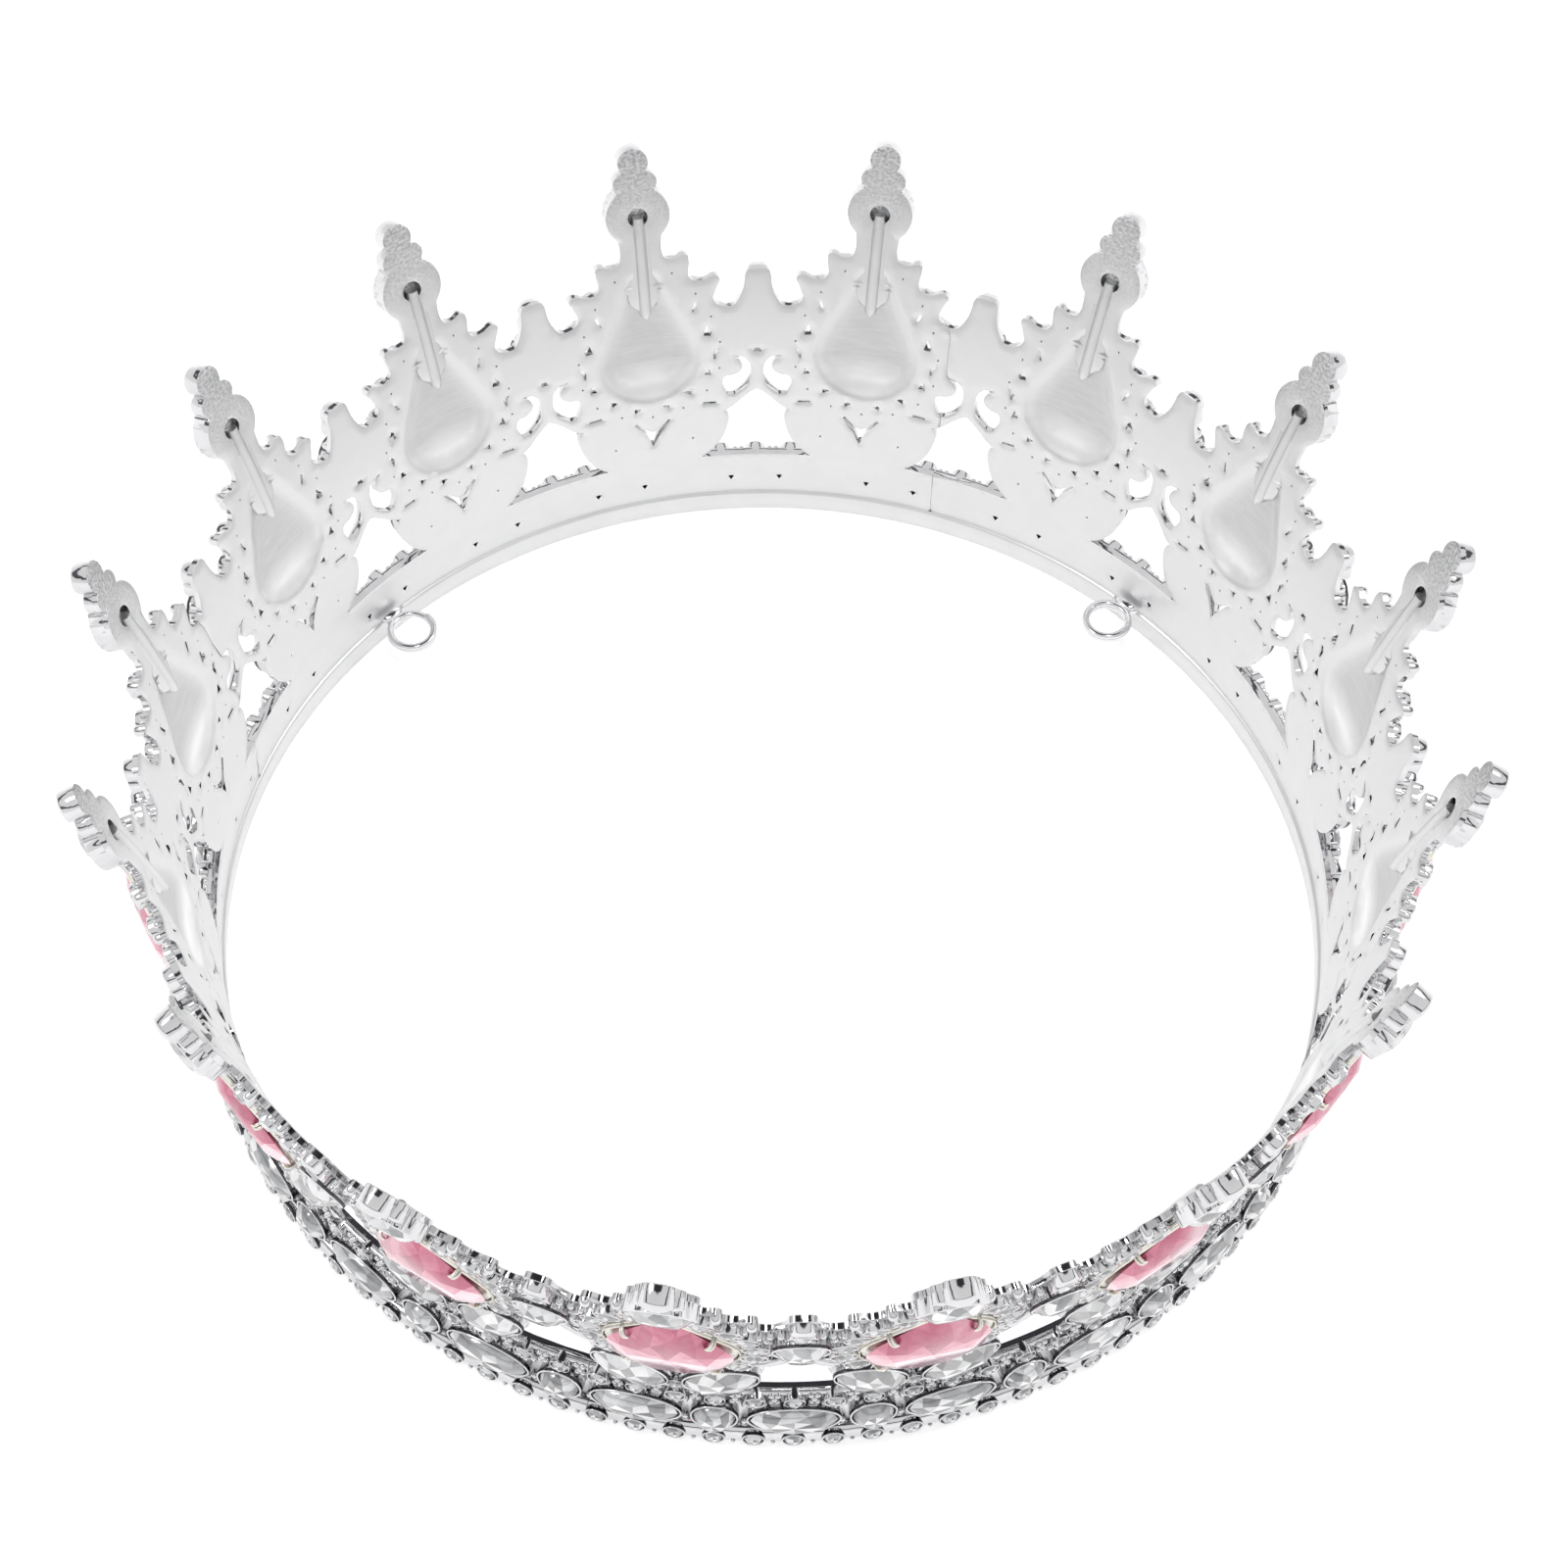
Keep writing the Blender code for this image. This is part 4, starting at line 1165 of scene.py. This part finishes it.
def base_band():
    """Thin strip with a rounded top edge, soldered inside the base."""
    low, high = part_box("base_strip")
    inner = high[0] / MM - 0.1
    bottom, top = low[2] / MM, high[2] / MM
    section = [(0.05, bottom), (0.0, bottom + 0.1), (0.0, top - 0.4), (0.08, top - 0.2),
               (0.4, top), (0.4, bottom)]
    steps = 288
    angles = np.arange(steps) * 2 * math.pi / steps
    rings = []
    for depth, height in section:
        x, y = (inner + depth) * np.sin(angles), -(inner + depth) * np.cos(angles)
        rings.append(np.stack([x, y, np.full(steps, height)], axis=1))
    points, faces = stack(rings, closed=True)
    around = np.tile(angles * inner, len(section))
    piece = Piece("base_band")
    piece.add(points * MM, faces, np.column_stack([around, points[:, 2], np.zeros(len(points))]))
    piece.make([satin], ["base_strip"])


def hair_loop(name, axis):
    """Bent wire ring of nearly two turns, and the solder that holds it."""
    low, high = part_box(name)
    middle = [(a + b) / 2 / MM for a, b in zip(low, high)]
    turn = math.radians(axis)
    out = np.array([math.sin(turn), -math.cos(turn), 0.0])
    along = np.array([math.cos(turn), math.sin(turn), 0.0])
    up = np.array([0.0, 0.0, 1.0])
    centre = out * (math.hypot(middle[0], middle[1]) - 0.1) + up * middle[2]
    path = []
    for share in np.linspace(0.0, 1.0, 81):
        a = math.radians(LOOP_START + LOOP_SWEEP * share)
        rise = LOOP_WIRE * (2.0 * share - 1.0)
        path.append(centre + LOOP_RADIUS * (out * math.cos(a) + along * math.sin(a)) + up * rise)
    depth, half_width, half_height = SOLDER
    angles = np.arange(16) * 2 * math.pi / 16
    rings = []
    for k, share in enumerate((1.0, 0.93, 0.7, 0.35)):
        size = share * (1 + 0.06 * np.sin(3 * angles + k))
        reach = LOOP_RADIUS + 1.1 - depth * math.sqrt(1 - share ** 2)
        rings.append(centre + out * reach + np.outer(np.cos(angles) * half_width * size, along)
                     + np.outer(np.sin(angles) * half_height * size, up))
    piece = Piece(name.replace("hair_loop", "wire_loop"))
    for points, faces in (tube(path, LOOP_WIRE, 10), stack(rings)):
        piece.add(points * MM, faces)
    piece.make([wire], [name])


# ------------------------------------------------------------------ staging

def floor():
    mesh = bpy.data.meshes.new("studio_floor")
    mesh.from_pydata([(-4, -4, 0), (4, -4, 0), (4, 4, 0), (-4, 4, 0)], [], [(0, 1, 2, 3)])
    item = bpy.data.objects.new("studio_floor", mesh)
    item.location = (0, 0, -FLOOR_DROP)
    bpy.context.scene.collection.objects.link(item)
    material, graph, shader = new_material("white_sweep", (0.95, 0.95, 0.95), 0.0, 0.9)
    graph.put(shader, "Specular IOR Level", 0.0)
    graph.put(shader, "Emission Color", (*WHITE, 1.0))
    graph.put(shader, "Emission Strength", FLOOR_GLOW)
    mesh.materials.append(material)


def placed(name, data, *columns):
    """Object with given x, y and z directions and place."""
    item = bpy.data.objects.new(name, data)
    matrix = Matrix.Identity(4)
    for column, vector in enumerate(columns):
        for row in range(3):
            matrix[row][column] = vector[row]
    item.matrix_world = matrix
    bpy.context.scene.collection.objects.link(item)
    return item


def softbox(name, place, size, power):
    """Rectangular light that faces the crown."""
    data = bpy.data.lights.new(name, "AREA")
    data.shape = "RECTANGLE"
    data.size, data.size_y = size
    data.energy = power
    back = np.array(place) / np.linalg.norm(place)
    right = np.cross((0, 0, 1.0), back)
    right /= np.linalg.norm(right)
    placed(name, data, right, np.cross(back, right), back, place)


def studio():
    """Soft white room with three lights."""
    world = bpy.data.worlds.new("studio")
    bpy.context.scene.world = world
    world.use_nodes = True
    graph = Graph(world.node_tree)
    graph.nodes.clear()
    direction = graph.node("ShaderNodeTexCoord", {}).outputs["Generated"]
    height = graph.node("ShaderNodeSeparateXYZ", {"Vector": direction}).outputs["Z"]
    inputs = {"Color": graph.ramp(height, ROOM_LIGHT), "Strength": 1.0}
    background = graph.node("ShaderNodeBackground", inputs)
    graph.node("ShaderNodeOutputWorld", {"Surface": background.outputs["Background"]})
    softbox("left_softbox", (-0.9, -0.2, 0.9), (0.35, 0.35), 2.2)
    softbox("right_softbox", (0.9, 0.1, 0.8), (0.3, 0.4), 2.0)
    softbox("top_softbox", (0.1, -0.25, 1.3), (0.25, 0.25), 1.5)


def camera():
    """Camera above and in front, looking down into the crown."""
    right = np.array([math.cos(CAMERA_YAW), math.sin(CAMERA_YAW), 0.0])
    level_ahead = np.array([-math.sin(CAMERA_YAW), math.cos(CAMERA_YAW), 0.0])
    upright = np.array([0.0, 0.0, 1.0])
    ahead = level_ahead * math.cos(CAMERA_PITCH) - upright * math.sin(CAMERA_PITCH)
    up = level_ahead * math.sin(CAMERA_PITCH) + upright * math.cos(CAMERA_PITCH)
    rolled_right = right * math.cos(CAMERA_ROLL) + up * math.sin(CAMERA_ROLL)
    rolled_up = up * math.cos(CAMERA_ROLL) - right * math.sin(CAMERA_ROLL)
    swing = np.array([[math.cos(CAMERA_SWING), -math.sin(CAMERA_SWING), 0.0],
                      [math.sin(CAMERA_SWING), math.cos(CAMERA_SWING), 0.0], [0.0, 0.0, 1.0]])
    place = np.array(CAMERA_PLACE) * WALL_RADIUS * MM
    data = bpy.data.cameras.new("camera")
    data.lens = CAMERA_LENS
    data.sensor_width = 36.0
    columns = [swing @ vector for vector in (rolled_right, rolled_up, -ahead, place)]
    bpy.context.scene.camera = placed("camera", data, *columns)


SPIRE_SOLIDS = spire_solids()
SPIRE_BACK = spire_back_solids()
GAP_SOLIDS = gap_solids()

for panel in range(PANELS):
    casting(panel)
    set_stones(panel)
for spire in range(SPIRES):
    spire_gem(spire)
    claw_mount(spire)
    pear_gem(spire)
for loop_name, loop_axis in LOOP_ANGLES.items():
    hair_loop(loop_name, loop_axis)
base_band()

floor()
studio()
camera()
bpy.context.scene.view_settings.view_transform = "Standard"
